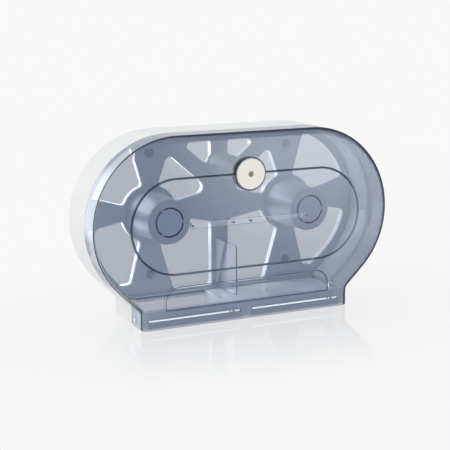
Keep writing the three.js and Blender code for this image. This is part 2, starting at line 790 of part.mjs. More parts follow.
function shutter() {
  const right = shutterEnd;
  const left = right - shutterLength;
  const front = railFrontDepth + wall + gap + gap;
  const rear = webDepth - gap - gap;
  const trayFront = railFrontDepth + frontLedgeReach + gap + gap;
  const trayRear = webDepth - rearLedgeReach - gap - gap;
  const top = slab(rectangle(left, right, front, rear), shutterFloorHeight, shutterTopHeight);
  const foot = shutterTopHeight - shutterWallHeight;
  const tray = slab(rectangle(left, right, trayFront, trayRear, shutterWall),
    foot, shutterTopHeight - gap);
  const inside = slab(
    rectangle(left + shutterWall, right - shutterWall, trayFront + shutterWall, trayRear - shutterWall),
    foot - overrun, shutterFloorHeight);
  return cut(join(top, tray), inside);
}

function rollDivider() {
  const left = gussetThickness - gussetSide + gap;
  const foot = lipTopHeight + gap;
  const profile = roundedPolygon([
    [dividerFrontDepth, foot], [webDepth - gap, foot], [webDepth - gap, dividerTopHeight],
    [dividerFrontDepth, dividerTopHeight, dividerCornerRadius],
  ]);
  return bar(profile, left, left + dividerThickness);
}

function hingePin(side) {
  const pin = join(
    crossRod(hingePinRadius, cheekInner + wall / 2 + gap, chinHalf - gap, hingeDepth, hingeHeight),
    crossRod(hingeHeadRadius, chinHalf - hingeHeadThickness, chinHalf, hingeDepth, hingeHeight));
  return side > 0 ? pin : pin.mirror([1, 0, 0]);
}

// Assembly

const dispenser = new THREE.Group();
dispenser.position.y = -originDepth;
dispenser.add(
  named('rear_housing', rearHousing(), white),
  named('chin_frame', chinFrame(), white),
  named('front_cover', frontCover(), smoke),
  named('shutter', shutter(), white),
  named('roll_divider', rollDivider(), smoke),
  named('lock_body', lockBody(), white),
  named('lock_nut', lockNut(), steel),
  named('lock_plug', lockPlug(), brass),
  named('lock_cam', lockCam(), steel),
  named('lock_cam_screw', camScrew(), steel),
  named('name_strip', nameStrip(), clear),
);
for (const [side, word] of [[-1, 'left'], [1, 'right']]) {
  dispenser.add(
    named(`spindle_${word}`, spindle(side * hubX), white),
    named(`hub_sleeve_${word}`, hubSleeve(side * hubX), white),
    named(`spindle_cap_${word}`, spindleCap(side * hubX), white),
    named(`hinge_pin_${word}`, hingePin(side), steel),
  );
}
tearBarPlaces.forEach((x, i) => dispenser.add(named(`tear_bar_${i + 1}`, tearBar(x), white)));
stripPinShares.forEach((share, i) =>
  dispenser.add(named(`strip_pin_${i + 1}`, stripPin(share), steel)));

export default dispenser;
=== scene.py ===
# Looks of the double roll toilet paper dispenser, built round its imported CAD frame.
# Shapes are made in millimetres: x to the right, depth from the flat front of the cover towards
# the wall, and z up. settle() brings a finished shape into the row frame, in metres.
import math

import bmesh
import bpy
from mathutils import Matrix, Vector
from mathutils.geometry import tessellate_polygon


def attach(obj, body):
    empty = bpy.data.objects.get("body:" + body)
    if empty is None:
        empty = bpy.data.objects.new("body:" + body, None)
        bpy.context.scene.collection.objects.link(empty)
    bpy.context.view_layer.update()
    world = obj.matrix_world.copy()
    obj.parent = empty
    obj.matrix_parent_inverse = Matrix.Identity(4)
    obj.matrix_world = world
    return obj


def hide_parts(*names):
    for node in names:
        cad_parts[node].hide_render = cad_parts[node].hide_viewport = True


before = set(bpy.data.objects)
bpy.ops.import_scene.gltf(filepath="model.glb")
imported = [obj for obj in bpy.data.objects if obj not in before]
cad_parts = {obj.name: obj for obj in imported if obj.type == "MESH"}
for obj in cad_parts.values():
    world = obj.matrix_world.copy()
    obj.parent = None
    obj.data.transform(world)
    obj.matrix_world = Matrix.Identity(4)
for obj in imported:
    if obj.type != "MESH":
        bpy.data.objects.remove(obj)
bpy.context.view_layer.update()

# Sizes shared with the CAD source
BODY_DEPTH = 104.0
COVER_DEPTH = 41.0
END_RADIUS = 117.3
END_SPACING = 199.0
END_HEIGHT = 134.5
CHIN_HALF = 154.0
FLARE = 44.0
CHIN_FILLET = 9.0
BODY_HEIGHT = END_HEIGHT + END_RADIUS
WALL = 2.5
GAP = 0.3
OVERRUN = 5.0
ORIGIN_DEPTH = 50.2

HUB_X = 105.0
HUB_Z = 136.0
HUB_FRONT = 24.7
HUB_FRONT_RADIUS = 29.8
HUB_REAR_RADIUS = 32.0
SPINDLE_RADIUS = 17.5
CAP_RADIUS = 18.7
CAP_THICKNESS = 2.3
RING_GAP = 1.3
SLOT_DEPTH = 16.0

WEB_DEPTH = 94.0
WEB_BACK = WEB_DEPTH + WALL
RIB = 2.0
RIM_WIDTH = 13.3
TOP_RIM = 23.0
HUB_RING = 40.0
SPOKE_SIDE = 13.0
WEB_FOOT = 13.0
LOWER_HOLE = 26.0
CORNER = 7.0
TIGHT_CORNER = 4.9

LOCK_Z = 196.8
LOCK_RADIUS = 20.5
LOCK_FRONT = -3.6
LOCK_WELL = 5.5
COLLAR_WALL = 2.0
COLLAR_FRONT = -2.6
TOWER_RADIUS = 17.0
TOWER_FRONT = 19.0

PANEL_RISE = 2.0
PANEL_RADIUS = 64.1
PANEL_SPACING = 210.0
PANEL_SLOPE = 1.4
RELIEF_DEPTH = 1.2
RELIEF_HALF = 121.3
RELIEF_TOP = 54.5
BAND_TOP = 24.0

STRIP_HALF = 87.0
STRIP_HEIGHT = 7.5
STRIP_THICKNESS = 2.0
STRIP_BACK = -1.1
PIN_RADIUS = 1.4
PIN_PLACES = (-84.0, -25.2, 0.0, 25.2, 84.0)

HOUSING_FRONT = COVER_DEPTH + GAP
CHEEK_OUTER = CHIN_HALF - WALL - 2 * GAP
CHEEK_INNER = CHEEK_OUTER - 4.0
RAIL_FRONT = 7.0
LEDGE_TOP = 18.7
SHUTTER_FLOOR = LEDGE_TOP + GAP
SHUTTER_TOP = SHUTTER_FLOOR + 2.0
LIP_FOOT = SHUTTER_TOP + GAP
LIP_TOP = LIP_FOOT + 2.0
HINGE_DEPTH = 32.0
HINGE_Z = 9.0
PIN_STEEL_RADIUS = 2.5
PIN_HEAD_RADIUS = 4.5
PIN_HEAD = 1.2

RIB_LEVEL = 12.6
RIB_HALF = 1.1
BAR_LENGTH = 116.0
BAR_STARTS = (-146.0, 4.0)

# How finely curves are cut
END_STEPS = 72
EDGE_STEPS = 12
CORNER_STEPS = 8
ROUND_STEPS = 128
MEDIUM_STEPS = 64
PIN_STEPS = 48
SMALL_STEPS = 32

# Limits of what counts as nothing, as one point and as one plane, and of smooth shading
TINY = 1e-6
SAME_POINT = 1e-5
MERGED_POINT = 2e-4
SAME_PLANE = math.radians(0.2)
SHARP = math.radians(30.0)


# Outlines in the x, z plane

def arc(x, z, radius, start, end, steps):
    angles = [math.radians(start + (end - start) * i / steps) for i in range(steps + 1)]
    return [(x + radius * math.cos(a), z + radius * math.sin(a)) for a in angles]


def mirrored(points):
    return [(-x, z) for x, z in reversed(points)]


def body_outline(inset, foot=0.0):
    """The body's outline drawn in by inset; the foot line stays where it is."""
    side = CHIN_HALF - inset
    fillet = CHIN_FILLET + inset
    ends = arc(END_SPACING / 2, END_HEIGHT, END_RADIUS - inset, FLARE - 90, 90, END_STEPS)
    start_x, start_z = ends[0]
    corner = start_z - (start_x - side) * math.tan(math.radians(FLARE))
    fillet_foot = corner - fillet * math.tan(math.radians((90 - FLARE) / 2))
    chin = arc(side + fillet, fillet_foot, fillet, 180, 90 + FLARE, CORNER_STEPS)
    right = [(side, foot)] + chin + ends
    return right + mirrored(right)


def stadium(radius, spacing=PANEL_SPACING, height=END_HEIGHT):
    right = arc(spacing / 2, height, radius, -90, 90, END_STEPS)
    return right + mirrored(right)


def quarter(edge, steps):
    """Places (level, inward) along an edge that is rounded by a quarter turn, from its front."""
    angles = [math.radians(90 * i / steps) for i in range(steps + 1)]
    return [(edge * (1 - math.cos(a)), edge * (1 - math.sin(a))) for a in angles]


def rounded(corners, grow=0.0, steps=CORNER_STEPS):
    """A polygon of corners (u, v, radius), each one rounded, with every side moved out by grow."""
    points = [Vector(c[:2]) for c in corners]
    count = len(points)
    area = sum(points[i - 1].cross(points[i]) for i in range(count))
    turn = 1 if area > 0 else -1
    sides = []
    for i, p in enumerate(points):
        along = (points[(i + 1) % count] - p).normalized()
        sides.append((along, p + Vector((along.y, -along.x)) * turn * grow))
    out = []
    for i, c in enumerate(corners):
        (a, start), (b, after) = sides[i - 1], sides[i]
        cross = a.cross(b)
        if abs(cross) < TINY:
            out.append(tuple(after))
            continue
        tip = start + a * ((after - start).cross(b) / cross)
        bulges = (cross > 0) == (turn > 0)
        radius = c[2] + (grow if bulges else -grow) if len(c) > 2 and c[2] > 0 else 0
        if radius <= 0:
            out.append(tuple(tip))
            continue
        angle = math.atan2(cross, a.dot(b))
        begin = tip - a * radius * math.tan(abs(angle) / 2)
        side = 1 if angle > 0 else -1
        centre = begin + Vector((-a.y, a.x)) * side * radius
        spoke = begin - centre
        for k in range(steps + 1):
            t = angle * k / steps
            turned_spoke = Vector((spoke.x * math.cos(t) - spoke.y * math.sin(t),
                                   spoke.x * math.sin(t) + spoke.y * math.cos(t)))
            out.append(tuple(centre + turned_spoke))
    return out


def rectangle(u0, u1, v0, v1, radius=0.0):
    return [(u0, v0, radius), (u1, v0, radius), (u1, v1, radius), (u0, v1, radius)]


# Solids

def solid(points, faces):
    mesh = bpy.data.meshes.new("shape")
    mesh.from_pydata([tuple(p) for p in points], [], faces)
    work = bmesh.new()
    work.from_mesh(mesh)
    bmesh.ops.remove_doubles(work, verts=work.verts, dist=SAME_POINT)
    bmesh.ops.recalc_face_normals(work, faces=work.faces)
    work.to_mesh(mesh)
    work.free()
    shape = bpy.data.objects.new("shape", mesh)
    bpy.context.scene.collection.objects.link(shape)
    return shape


def to_plate(u, v, w):
    return (u, w, v)


def to_slab(u, v, w):
    return (u, v, w)


def to_bar(u, v, w):
    return (w, u, v)


def walls(base, rows, count):
    """Faces between rows of count points each, the first of which is point base."""
    faces = []
    for row in range(base, base + (rows - 1) * count, count):
        for i in range(count):
            a, b = row + i, row + (i + 1) % count
            faces.append((a, b, b + count, a + count))
    return faces


def loft(rings, place=to_plate):
    """A closed solid through rings (level, points) of equally many points."""
    count = len(rings[0][1])
    last = (len(rings) - 1) * count
    points = [place(u, v, level) for level, ring in rings for u, v in ring]
    faces = walls(0, len(rings), count) + [tuple(range(count)), tuple(range(last, last + count))]
    return solid(points, faces)


def prism(points, start, end, place=to_plate):
    return loft([(start, points), (end, points)], place)


def block(u0, u1, v0, v1, start, end, radius=0.0, place=to_plate):
    return prism(rounded(rectangle(u0, u1, v0, v1, radius)), start, end, place)


def soft_prism(corners, start, end, edge, place=to_plate, ends=(True, True), steps=4):
    """A prism whose outline edges are rounded by edge at one or both ends."""
    soft = [(level, rounded(corners, -inward)) for level, inward in quarter(edge, steps)]
    plain = [(0.0, rounded(corners))]
    rings = [(start + level, ring) for level, ring in (soft if ends[0] else plain)]
    rings += [(end - level, ring) for level, ring in reversed(soft if ends[1] else plain)]
    return loft(rings, place)


def turned(profile, x, z, steps=ROUND_STEPS):
    """A piece turned about an axis in depth. The profile holds (radius, depth)."""
    points, faces, rows = [], [], []
    for radius, depth in profile:
        if radius < TINY:
            points.append((x, depth, z))
            rows.append([len(points) - 1] * steps)
            continue
        rows.append(list(range(len(points), len(points) + steps)))
        for k in range(steps):
            a = 2 * math.pi * k / steps
            points.append((x + radius * math.cos(a), depth, z + radius * math.sin(a)))
    for r in range(len(rows)):
        here, after = rows[r], rows[(r + 1) % len(rows)]
        for k in range(steps):
            j = (k + 1) % steps
            face = list(dict.fromkeys((here[k], here[j], after[j], after[k])))
            if len(face) > 2:
                faces.append(tuple(face))
    return solid(points, faces)


def rod(radius, start, end, x, z, edge=0.0, steps=ROUND_STEPS):
    corners = [(0.0, start), (radius, start, edge), (radius, end, edge), (0.0, end)]
    return turned(rounded(corners, steps=4), x, z, steps)


def hinge_hole(pin_radius, start, end, side):
    """Cutter for a hinge pin of one side, from start outwards to end."""
    ring = arc(HINGE_DEPTH, HINGE_Z, pin_radius + GAP, 0, 360, PIN_STEPS)[:-1]
    return prism(ring, *sorted((side * start, side * end)), to_bar)


def combine(base, others, operation):
    for other in others:
        change = base.modifiers.new("change", "BOOLEAN")
        change.operation = operation
        change.solver = "MANIFOLD"
        change.object = other
    graph = bpy.context.evaluated_depsgraph_get()
    mesh = bpy.data.meshes.new_from_object(base.evaluated_get(graph))
    base.modifiers.clear()
    old = base.data
    base.data = mesh
    bpy.data.meshes.remove(old)
    for other in others:
        gone = other.data
        bpy.data.objects.remove(other)
        bpy.data.meshes.remove(gone)
    return base


def join(base, *others):
    return combine(base, others, "UNION")


def cut(base, *others):
    return combine(base, others, "DIFFERENCE")


def overlap(base, other):
    return combine(base, [other], "INTERSECT")


def smooth(shape):
    """Joins coplanar faces, and shades curves smoothly between the sharp edges."""
    work = bmesh.new()
    work.from_mesh(shape.data)
    bmesh.ops.remove_doubles(work, verts=work.verts, dist=MERGED_POINT)
    bmesh.ops.dissolve_limit(work, angle_limit=SAME_PLANE, verts=work.verts, edges=work.edges)
    for face in work.faces:
        face.smooth = True
    for edge in work.edges:
        edge.smooth = len(edge.link_faces) == 2 and edge.calc_face_angle(0.0) <= SHARP
    work.to_mesh(shape.data)
    work.free()
    even = shape.modifiers.new("even", "WEIGHTED_NORMAL")
    even.keep_sharp = True
    even.weight = 50


def settle(shape, name, body, material, nodes):
    """Shape becomes a piece of the scene: in metres, in the row frame, riding on its body."""
    smooth(shape)
    graph = bpy.context.evaluated_depsgraph_get()
    mesh = bpy.data.meshes.new_from_object(shape.evaluated_get(graph))
    shape.modifiers.clear()
    shape.data = mesh
    mesh.transform(Matrix.Translation((0, -ORIGIN_DEPTH / 1000, 0)) @ Matrix.Scale(0.001, 4))
    shape.name = name
    mesh.name = name
    mesh.materials.clear()
    mesh.materials.append(material)
    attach(shape, body)
    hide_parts(*nodes)
    return shape


def paint(piece, material, chosen):
    """Gives material to the faces whose centre and normal, in part coordinates, are chosen."""
    piece.data.materials.append(material)
    last = len(piece.data.materials) - 1
    for face in piece.data.polygons:
        x, y, z = (c * 1000 for c in face.center)
        if chosen(x, y + ORIGIN_DEPTH, z, face.normal):
            face.material_index = last


# Materials

# Sockets of a colour Mix node, and the range that most of a noise lies in
MIX_SHARE, MIX_LOW, MIX_HIGH, MIX_RESULT = 0, 6, 7, 2
NOISE_LOW, NOISE_HIGH = 0.25, 0.75

CLOUD_SCALE = 14.0
UNEVEN_SCALE = 60.0
PEEL_SCALE = 900.0
PEEL_DETAIL = 2.0
PEEL_HEIGHT = 0.00002
METAL_SCALE = 300.0
METAL_SHADE = 0.85
CLEAR_SCALE = 25.0
CLEAR_ROUGH = (0.015, 0.03)
CLEAR_IOR = 1.36

# How far a clear face is turned where its colour starts to deepen, is half deep and is deepest
TURN_START, TURN_MIDDLE, TURN_END = 0.2, 0.65, 0.97
MIDDLE_POWER = (1.20, 1.12, 0.98)
GRAZING = (0.04, 0.07, 0.18)
PASSED_GAIN = 1.06

# The cover's painted dark rim of shade starts and is full at these turns, and at these x in metres, so that
# it fades out towards the lit left edge
RIM_SHADE_COLOUR = (0.015, 0.022, 0.05)
RIM_SHARE = 0.98
RIM_TURNS = (0.19, 0.42)
RIM_ENDS = (-0.188, -0.135)


def new_material(name):
    material = bpy.data.materials.new(name)
    material.use_nodes = True
    return material, material.node_tree, material.node_tree.nodes["Principled BSDF"]


def opaque(colour):
    return (*colour, 1)


def new_node(tree, kind, source=None, socket=0, **values):
    """A shader node with the values of its sockets, fed by source where there is one."""
    node = tree.nodes.new("ShaderNode" + kind)
    for name, value in values.items():
        node.inputs[name.replace("_", " ")].default_value = value
    if source is not None:
        tree.links.new(source, node.inputs[socket])
    return node


def surface(tree, shader, output="Material Output"):
    tree.links.new(shader, tree.nodes[output].inputs["Surface"])


def grain(tree, scale, detail=3.0):
    place = new_node(tree, "TexCoord").outputs["Object"]
    return new_node(tree, "TexNoise", place, "Vector", Scale=scale, Detail=detail).outputs["Fac"]


def ranged(tree, value, start, end, low=0.0, high=1.0, interpolation="LINEAR"):
    """The value carried over from the range start to end into the range low to high."""
    node = new_node(tree, "MapRange", value, "Value", From_Min=start, From_Max=end, To_Min=low,
                    To_Max=high)
    node.interpolation_type = interpolation
    return node.outputs["Result"]


def spread(tree, noise, low=0.0, high=1.0):
    return ranged(tree, noise, NOISE_LOW, NOISE_HIGH, low, high)


def shaded(tree, noise, low, high):
    """A colour between low and high, by the noise."""
    mix = new_node(tree, "Mix", spread(tree, noise), MIX_SHARE)
    mix.data_type = "RGBA"
    mix.inputs[MIX_LOW].default_value = opaque(low)
    mix.inputs[MIX_HIGH].default_value = opaque(high)
    return mix.outputs[MIX_RESULT]


def computed(tree, operation, first, second, clamp=False):
    node = new_node(tree, "Math", first)
    node.operation = operation
    node.use_clamp = clamp
    tree.links.new(second, node.inputs[1])
    return node.outputs[0]


def mixed(tree, share, first, second):
    node = new_node(tree, "MixShader", share, "Fac")
    tree.links.new(first, node.inputs[1])
    tree.links.new(second, node.inputs[2])
    return node.outputs["Shader"]


def vectors(tree, operation, first, second=(0.0, 0.0, 0.0)):
    node = new_node(tree, "VectorMath", first)
    node.operation = operation
    node.inputs[1].default_value = second
    return node.outputs


def either_ray(tree, first, second):
    way = new_node(tree, "LightPath")
    return computed(tree, "MAXIMUM", way.outputs[first], way.outputs[second])


def moulded(name, low, high, rough, fine=PEEL_SCALE, peel=PEEL_HEIGHT):
    """Moulded plastic: faint cloudy tone, uneven gloss and a fine orange peel."""
    material, tree, shader = new_material(name)
    tree.links.new(shaded(tree, grain(tree, CLOUD_SCALE), low, high), shader.inputs["Base Color"])
    tree.links.new(spread(tree, grain(tree, UNEVEN_SCALE), *rough), shader.inputs["Roughness"])
    bump = new_node(tree, "Bump", grain(tree, fine, PEEL_DETAIL), "Height", Distance=peel, Strength=1.0)
    tree.links.new(bump.outputs["Normal"], shader.inputs["Normal"])
    return material


def metal(name, colour, rough):
    material, tree, shader = new_material(name)
    shader.inputs["Metallic"].default_value = 1.0
    tone = grain(tree, METAL_SCALE)
    tree.links.new(shaded(tree, tone, [c * METAL_SHADE for c in colour], colour),
                   shader.inputs["Base Color"])
    tree.links.new(spread(tree, tone, *rough), shader.inputs["Roughness"])
    return material


def painted_shade_rim(tree, facing, body):
    """The body of a clear plastic with a painted dark rim, shade where its front faces turn away,
    as where one looks along the wall. The painted rim ends towards the left, where the edge is lit."""
    dark = new_node(tree, "BsdfPrincipled", Base_Color=opaque(RIM_SHADE_COLOUR), Roughness=0.5,
                    Specular_IOR_Level=0.1)
    across = new_node(tree, "SeparateXYZ", new_node(tree, "TexCoord").outputs["Object"])
    share = computed(tree, "MULTIPLY", ranged(tree, facing, *RIM_TURNS, high=RIM_SHARE),
                     ranged(tree, across.outputs["X"], *RIM_ENDS, interpolation="SMOOTHSTEP"))
    rear = new_node(tree, "NewGeometry").outputs["Backfacing"]
    front = computed(tree, "SUBTRACT", share, rear, clamp=True)
    return mixed(tree, front, body, dark.outputs["BSDF"])


def clear_plastic(name, passed, deep=GRAZING, clear=1.0, shine=0.5, shade_rimmed=False):
    """Clear plastic that passes the share passed of the light at a right angle and less at a
    flat one. Lamps and scattered light pass straight through."""
    material, tree, shader = new_material(name)
    shader.inputs["Transmission Weight"].default_value = clear
    shader.inputs["IOR"].default_value = CLEAR_IOR
    shader.inputs["Specular IOR Level"].default_value = shine
    tree.links.new(spread(tree, grain(tree, CLEAR_SCALE), *CLEAR_ROUGH), shader.inputs["Roughness"])
    facing = new_node(tree, "LayerWeight", Blend=0.5).outputs["Facing"]
    deepen = new_node(tree, "ValToRGB", facing)
    stops = deepen.color_ramp.elements
    stops[0].position, stops[0].color = TURN_START, opaque(passed)
    stops[1].position, stops[1].color = TURN_END, opaque(p * d for p, d in zip(passed, deep))
    stops.new(TURN_MIDDLE).color = opaque(p ** power for p, power in zip(passed, MIDDLE_POWER))
    tree.links.new(deepen.outputs["Color"], shader.inputs["Base Color"])
    through = new_node(tree, "BsdfTransparent",
                       Color=opaque(math.sqrt(min(p * PASSED_GAIN, 1.0)) for p in passed))
    body = shader.outputs["BSDF"]
    if shade_rimmed:
        body = painted_shade_rim(tree, facing, body)
    straight = either_ray(tree, "Is Shadow Ray", "Is Diffuse Ray")
    surface(tree, mixed(tree, straight, body, through.outputs["BSDF"]))
    return material


SMOKE = (0.450, 0.478, 0.545)

white_plastic = moulded("white_plastic", (0.77, 0.815, 0.84), (0.81, 0.855, 0.88), (0.30, 0.42))
# A darker copy of the white plastic for the outside of the housing: painted shade against the stronger light
# there
white_skin_painted_shade = moulded("white_skin_painted_shade", (0.77, 0.77, 0.755), (0.81, 0.81, 0.795), (0.55, 0.70))
white_skin_painted_shade.node_tree.nodes["Principled BSDF"].inputs["Specular IOR Level"].default_value = 0.05
# A brighter copy of the white plastic for the window rims and the inner wall: painted light
white_rim_painted_light = moulded("white_rim_painted_light", (0.90, 0.91, 0.92), (0.94, 0.95, 0.95), (0.22, 0.32))
# Glossy white for the shutter: the gloss is its own, and its brighter colour is painted light
white_gloss = moulded("white_gloss", (0.88, 0.89, 0.89), (0.92, 0.93, 0.93), (0.06, 0.12), peel=0.00001)
# A darker, bluer copy of the white plastic for the hubs: painted shade
hub_plastic = moulded("hub_plastic", (0.70, 0.755, 0.82), (0.75, 0.805, 0.87), (0.34, 0.46))
# A darker copy of the white plastic: painted shade that makes the web's four domes stand out
boss_painted_shade = moulded("boss_painted_shade", (0.50, 0.55, 0.62), (0.55, 0.60, 0.67), (0.34, 0.46))
# A slightly darker, bluer copy of the white plastic for the caps: painted shade
cap_painted_shade = moulded("cap_painted_shade", (0.70, 0.77, 0.88), (0.75, 0.82, 0.93), (0.34, 0.46))
# Near black painted shade for the deep slot round each cap
slot_painted_shade = moulded("slot_painted_shade", (0.012, 0.013, 0.018), (0.03, 0.032, 0.04), (0.6, 0.8))
# A brighter copy of the white plastic for the chin frame: painted light
chin_white_painted_light = moulded("chin_white_painted_light", (0.89, 0.90, 0.90), (0.93, 0.94, 0.94), (0.28, 0.40))
tear_plastic = moulded("tear_plastic", (0.84, 0.87, 0.90), (0.88, 0.90, 0.92), (0.28, 0.40))
lock_white = moulded("lock_white", (0.80, 0.725, 0.635), (0.84, 0.765, 0.675), (0.42, 0.55), fine=1500.0)
smoke_plastic = clear_plastic("smoke_plastic", SMOKE)
# Near black smoke for the lock's collar and the slopes of the panel and relief: painted shade for the dark
# lines seen there
smoke_step_painted_shade = clear_plastic("smoke_step_painted_shade", (0.06, 0.085, 0.14), shine=0.08)
# A clearer copy of the smoke for the cover's side wall: painted light
smoke_side_painted_light = clear_plastic("smoke_side_painted_light", (0.62, 0.65, 0.71))
# Smoke with a painted dark rim of shade along the cover's rounded edge, fading out on the lit left
smoke_edge_painted_shade = clear_plastic("smoke_edge_painted_shade", SMOKE, shade_rimmed=True)
divider_plastic = clear_plastic("divider_plastic", (0.84, 0.86, 0.90), (0.35, 0.40, 0.50), 0.84)
strip_plastic = clear_plastic("strip_plastic", (0.93, 0.94, 0.96), (0.20, 0.25, 0.36), 0.95)
strip_pin = moulded("strip_pin", (0.05, 0.06, 0.10), (0.09, 0.10, 0.15), (0.2, 0.3))
lock_metal = metal("lock_metal", (0.62, 0.63, 0.65), (0.22, 0.35))
lock_brass = metal("lock_brass", (0.30, 0.27, 0.17), (0.35, 0.5))
pin_steel = metal("pin_steel", (0.50, 0.52, 0.56), (0.2, 0.34))


# Cover

PANEL_STEPS = 8
RELIEF_STEPS = 6
SWEEP_STEPS = 12
COVER_EDGE = 9.0
SLOPE_SPREAD = 0.4
PANEL_THINNING = 1.0
RELIEF_CORNER = 1.5
RELIEF_ROUND = 20.0
RELIEF_SPREAD = 0.8
RELIEF_SLOPE = 1.8
COLLAR_EDGE = 0.7
BARREL_RADIUS = 9.0
STRIP_SLOT_CORNER = 2.2
AHEAD = -10.0
THROUGH = 8.0
RIB_SLOT_CORNER = 0.5
PEG_RADIUS = 1.3
PEG_PLACE = 3.0
CATCH = (8.5, 15.0)
CATCH_HALF = 0.8
CATCH_HOLE = (6.9, 16.6)


def eased(t):
    return t * t * (3 - 2 * t)


def stepped(depth, edge, inset, foot, rear, panel_depth, panel_radius):
    """Solid of the body's outline with a rounded front edge and an oval panel raised on it."""
    panel = []
    for i in range(PANEL_STEPS + 1):
        t = i / PANEL_STEPS
        radius = panel_radius - PANEL_SLOPE - SLOPE_SPREAD + (PANEL_SLOPE + 2 * SLOPE_SPREAD) * t
        panel.append((panel_depth + (depth - panel_depth) * eased(t), stadium(radius)))
    body = [(depth + level, body_outline(inset + inward, foot))
            for level, inward in quarter(edge, EDGE_STEPS)]
    body.append((rear, body_outline(inset, foot)))
    points = [(x, level, z) for level, ring in panel + body for x, z in ring]
    panel_count, body_count = len(panel[0][1]), len(body[0][1])
    body_at = len(panel) * panel_count
    joint_at = body_at - panel_count
    last = body_at + (len(body) - 1) * body_count
    faces = walls(0, len(panel), panel_count) + walls(body_at, len(body), body_count)
    faces += [tuple(range(panel_count)), tuple(range(last, last + body_count))]
    around = [Vector((x, z, 0)) for x, z in body[0][1]]
    hole = [Vector((x, z, 0)) for x, z in panel[-1][1]]
    for triangle in tessellate_polygon([around, hole]):
        faces.append(tuple(body_at + i if i < body_count else joint_at + i - body_count
                           for i in triangle))
    return solid(points, faces)


def relief(grow):
    return rounded([(-RELIEF_HALF, BAND_TOP, RELIEF_CORNER), (RELIEF_HALF, BAND_TOP, RELIEF_CORNER),
                    (RELIEF_HALF, RELIEF_TOP, RELIEF_ROUND), (-RELIEF_HALF, RELIEF_TOP, RELIEF_ROUND)],
                   grow)


def relief_cutter():
    rings = [(-OVERRUN, relief(RELIEF_SPREAD))]
    for i in range(RELIEF_STEPS + 1):
        t = i / RELIEF_STEPS
        rings.append((RELIEF_DEPTH * eased(t), relief(RELIEF_SPREAD - RELIEF_SLOPE * t)))
    return loft(rings)


def cover_shell():
    outer = stepped(0.0, COVER_EDGE, 0.0, 0.0, COVER_DEPTH, -PANEL_RISE, PANEL_RADIUS)
    inner = stepped(WALL, COVER_EDGE - WALL, WALL, -OVERRUN, COVER_DEPTH + OVERRUN,
                    WALL - PANEL_RISE, PANEL_RADIUS - PANEL_THINNING)
    backing = loft([(0.0, relief(WALL)), (WALL + RELIEF_DEPTH, relief(WALL))])
    well = rod(LOCK_RADIUS + GAP + COLLAR_WALL, COLLAR_FRONT, LOCK_WELL + WALL, 0, LOCK_Z, COLLAR_EDGE)
    shell = join(cut(outer, cut(inner, backing)), well)
    ears = [(HINGE_DEPTH, -OVERRUN), (COVER_DEPTH + OVERRUN, -OVERRUN),
            (COVER_DEPTH + OVERRUN, HINGE_Z)] + arc(HINGE_DEPTH, HINGE_Z, HINGE_Z, 0, -90, SWEEP_STEPS)
    half = STRIP_HEIGHT / 2 + GAP
    holes = [
        rod(LOCK_RADIUS + GAP, AHEAD, LOCK_WELL, 0, LOCK_Z),
        rod(BARREL_RADIUS + GAP, 0, LOCK_WELL + WALL + OVERRUN, 0, LOCK_Z),
        relief_cutter(),
        prism(ears, -CHIN_HALF - OVERRUN, CHIN_HALF + OVERRUN, to_bar),
        block(-STRIP_HALF - GAP, STRIP_HALF + GAP, END_HEIGHT - half, END_HEIGHT + half,
              AHEAD, STRIP_BACK + GAP, STRIP_SLOT_CORNER),
    ]
    holes += [rod(PIN_RADIUS + GAP, -OVERRUN, THROUGH, x, END_HEIGHT, steps=SMALL_STEPS)
              for x in PIN_PLACES]
    for side in (-1, 1):
        holes.append(hinge_hole(PIN_STEEL_RADIUS, CHIN_HALF - THROUGH, CHIN_HALF + OVERRUN, side))
        holes.append(hinge_hole(PIN_HEAD_RADIUS, CHIN_HALF - PIN_HEAD - GAP, CHIN_HALF + OVERRUN, side))
    for x in BAR_STARTS:
        end = x + BAR_LENGTH
        rib = RIB_HALF + GAP
        catch = 2 * CATCH_HALF
        holes.append(block(x - GAP, end + GAP, RIB_LEVEL - rib, RIB_LEVEL + rib,
                           -OVERRUN, THROUGH, RIB_SLOT_CORNER))
        holes.append(rod(PEG_RADIUS + GAP, -OVERRUN, THROUGH, end + PEG_PLACE, RIB_LEVEL,
                         steps=SMALL_STEPS))
        holes.append(block(end + CATCH_HOLE[0], end + CATCH_HOLE[1], RIB_LEVEL - catch,
                           RIB_LEVEL + catch, -OVERRUN, THROUGH, CATCH_HALF))
    return cut(shell, *holes)


# Limits of the face tests: how far places lie from a line, and how flat faces lie
ROUND_FOOT = END_HEIGHT - 85.0
FACES_FRONT = 0.97
STEP_BACK = 4.5
STEP_MIDDLE = 1.5
STEP_REACH = 2.0
RELIEF_BACK = 1.4
EDGE_REACH = 9.2
EDGE_FACES = 0.995
NOT_REAR = 0.01
SIDE_REACH = 4.0
SIDE_FACES = 0.3


def reach_of(x, z, spacing=END_SPACING):
    """How far a place is from the line between the centres of an outline's round ends."""
    return math.hypot(max(abs(x) - spacing / 2, 0.0), z - END_HEIGHT)


def by_outline(x, z, margin):
    """Whether a place is at most margin inside the body's outline."""
    if z > ROUND_FOOT:
        return reach_of(x, z) > END_RADIUS - margin
    return abs(x) > CHIN_HALF - margin


def on_step(x, depth, z, normal):
    """Whether a face of the cover is on the lock's collar or on a slope of its relief, where it is painted
    near black as shade.
    """
    if math.hypot(x, z - LOCK_Z) < LOCK_RADIUS + COLLAR_WALL + 1:
        return True
    if abs(normal.y) > FACES_FRONT or depth > STEP_BACK:
        return False
    if abs(reach_of(x, z, PANEL_SPACING) - PANEL_RADIUS + STEP_MIDDLE) < STEP_REACH:
        return True
    return (depth < RELIEF_BACK and abs(x) < RELIEF_HALF + STEP_REACH
            and BAND_TOP - STEP_REACH < z < RELIEF_TOP + STEP_REACH)


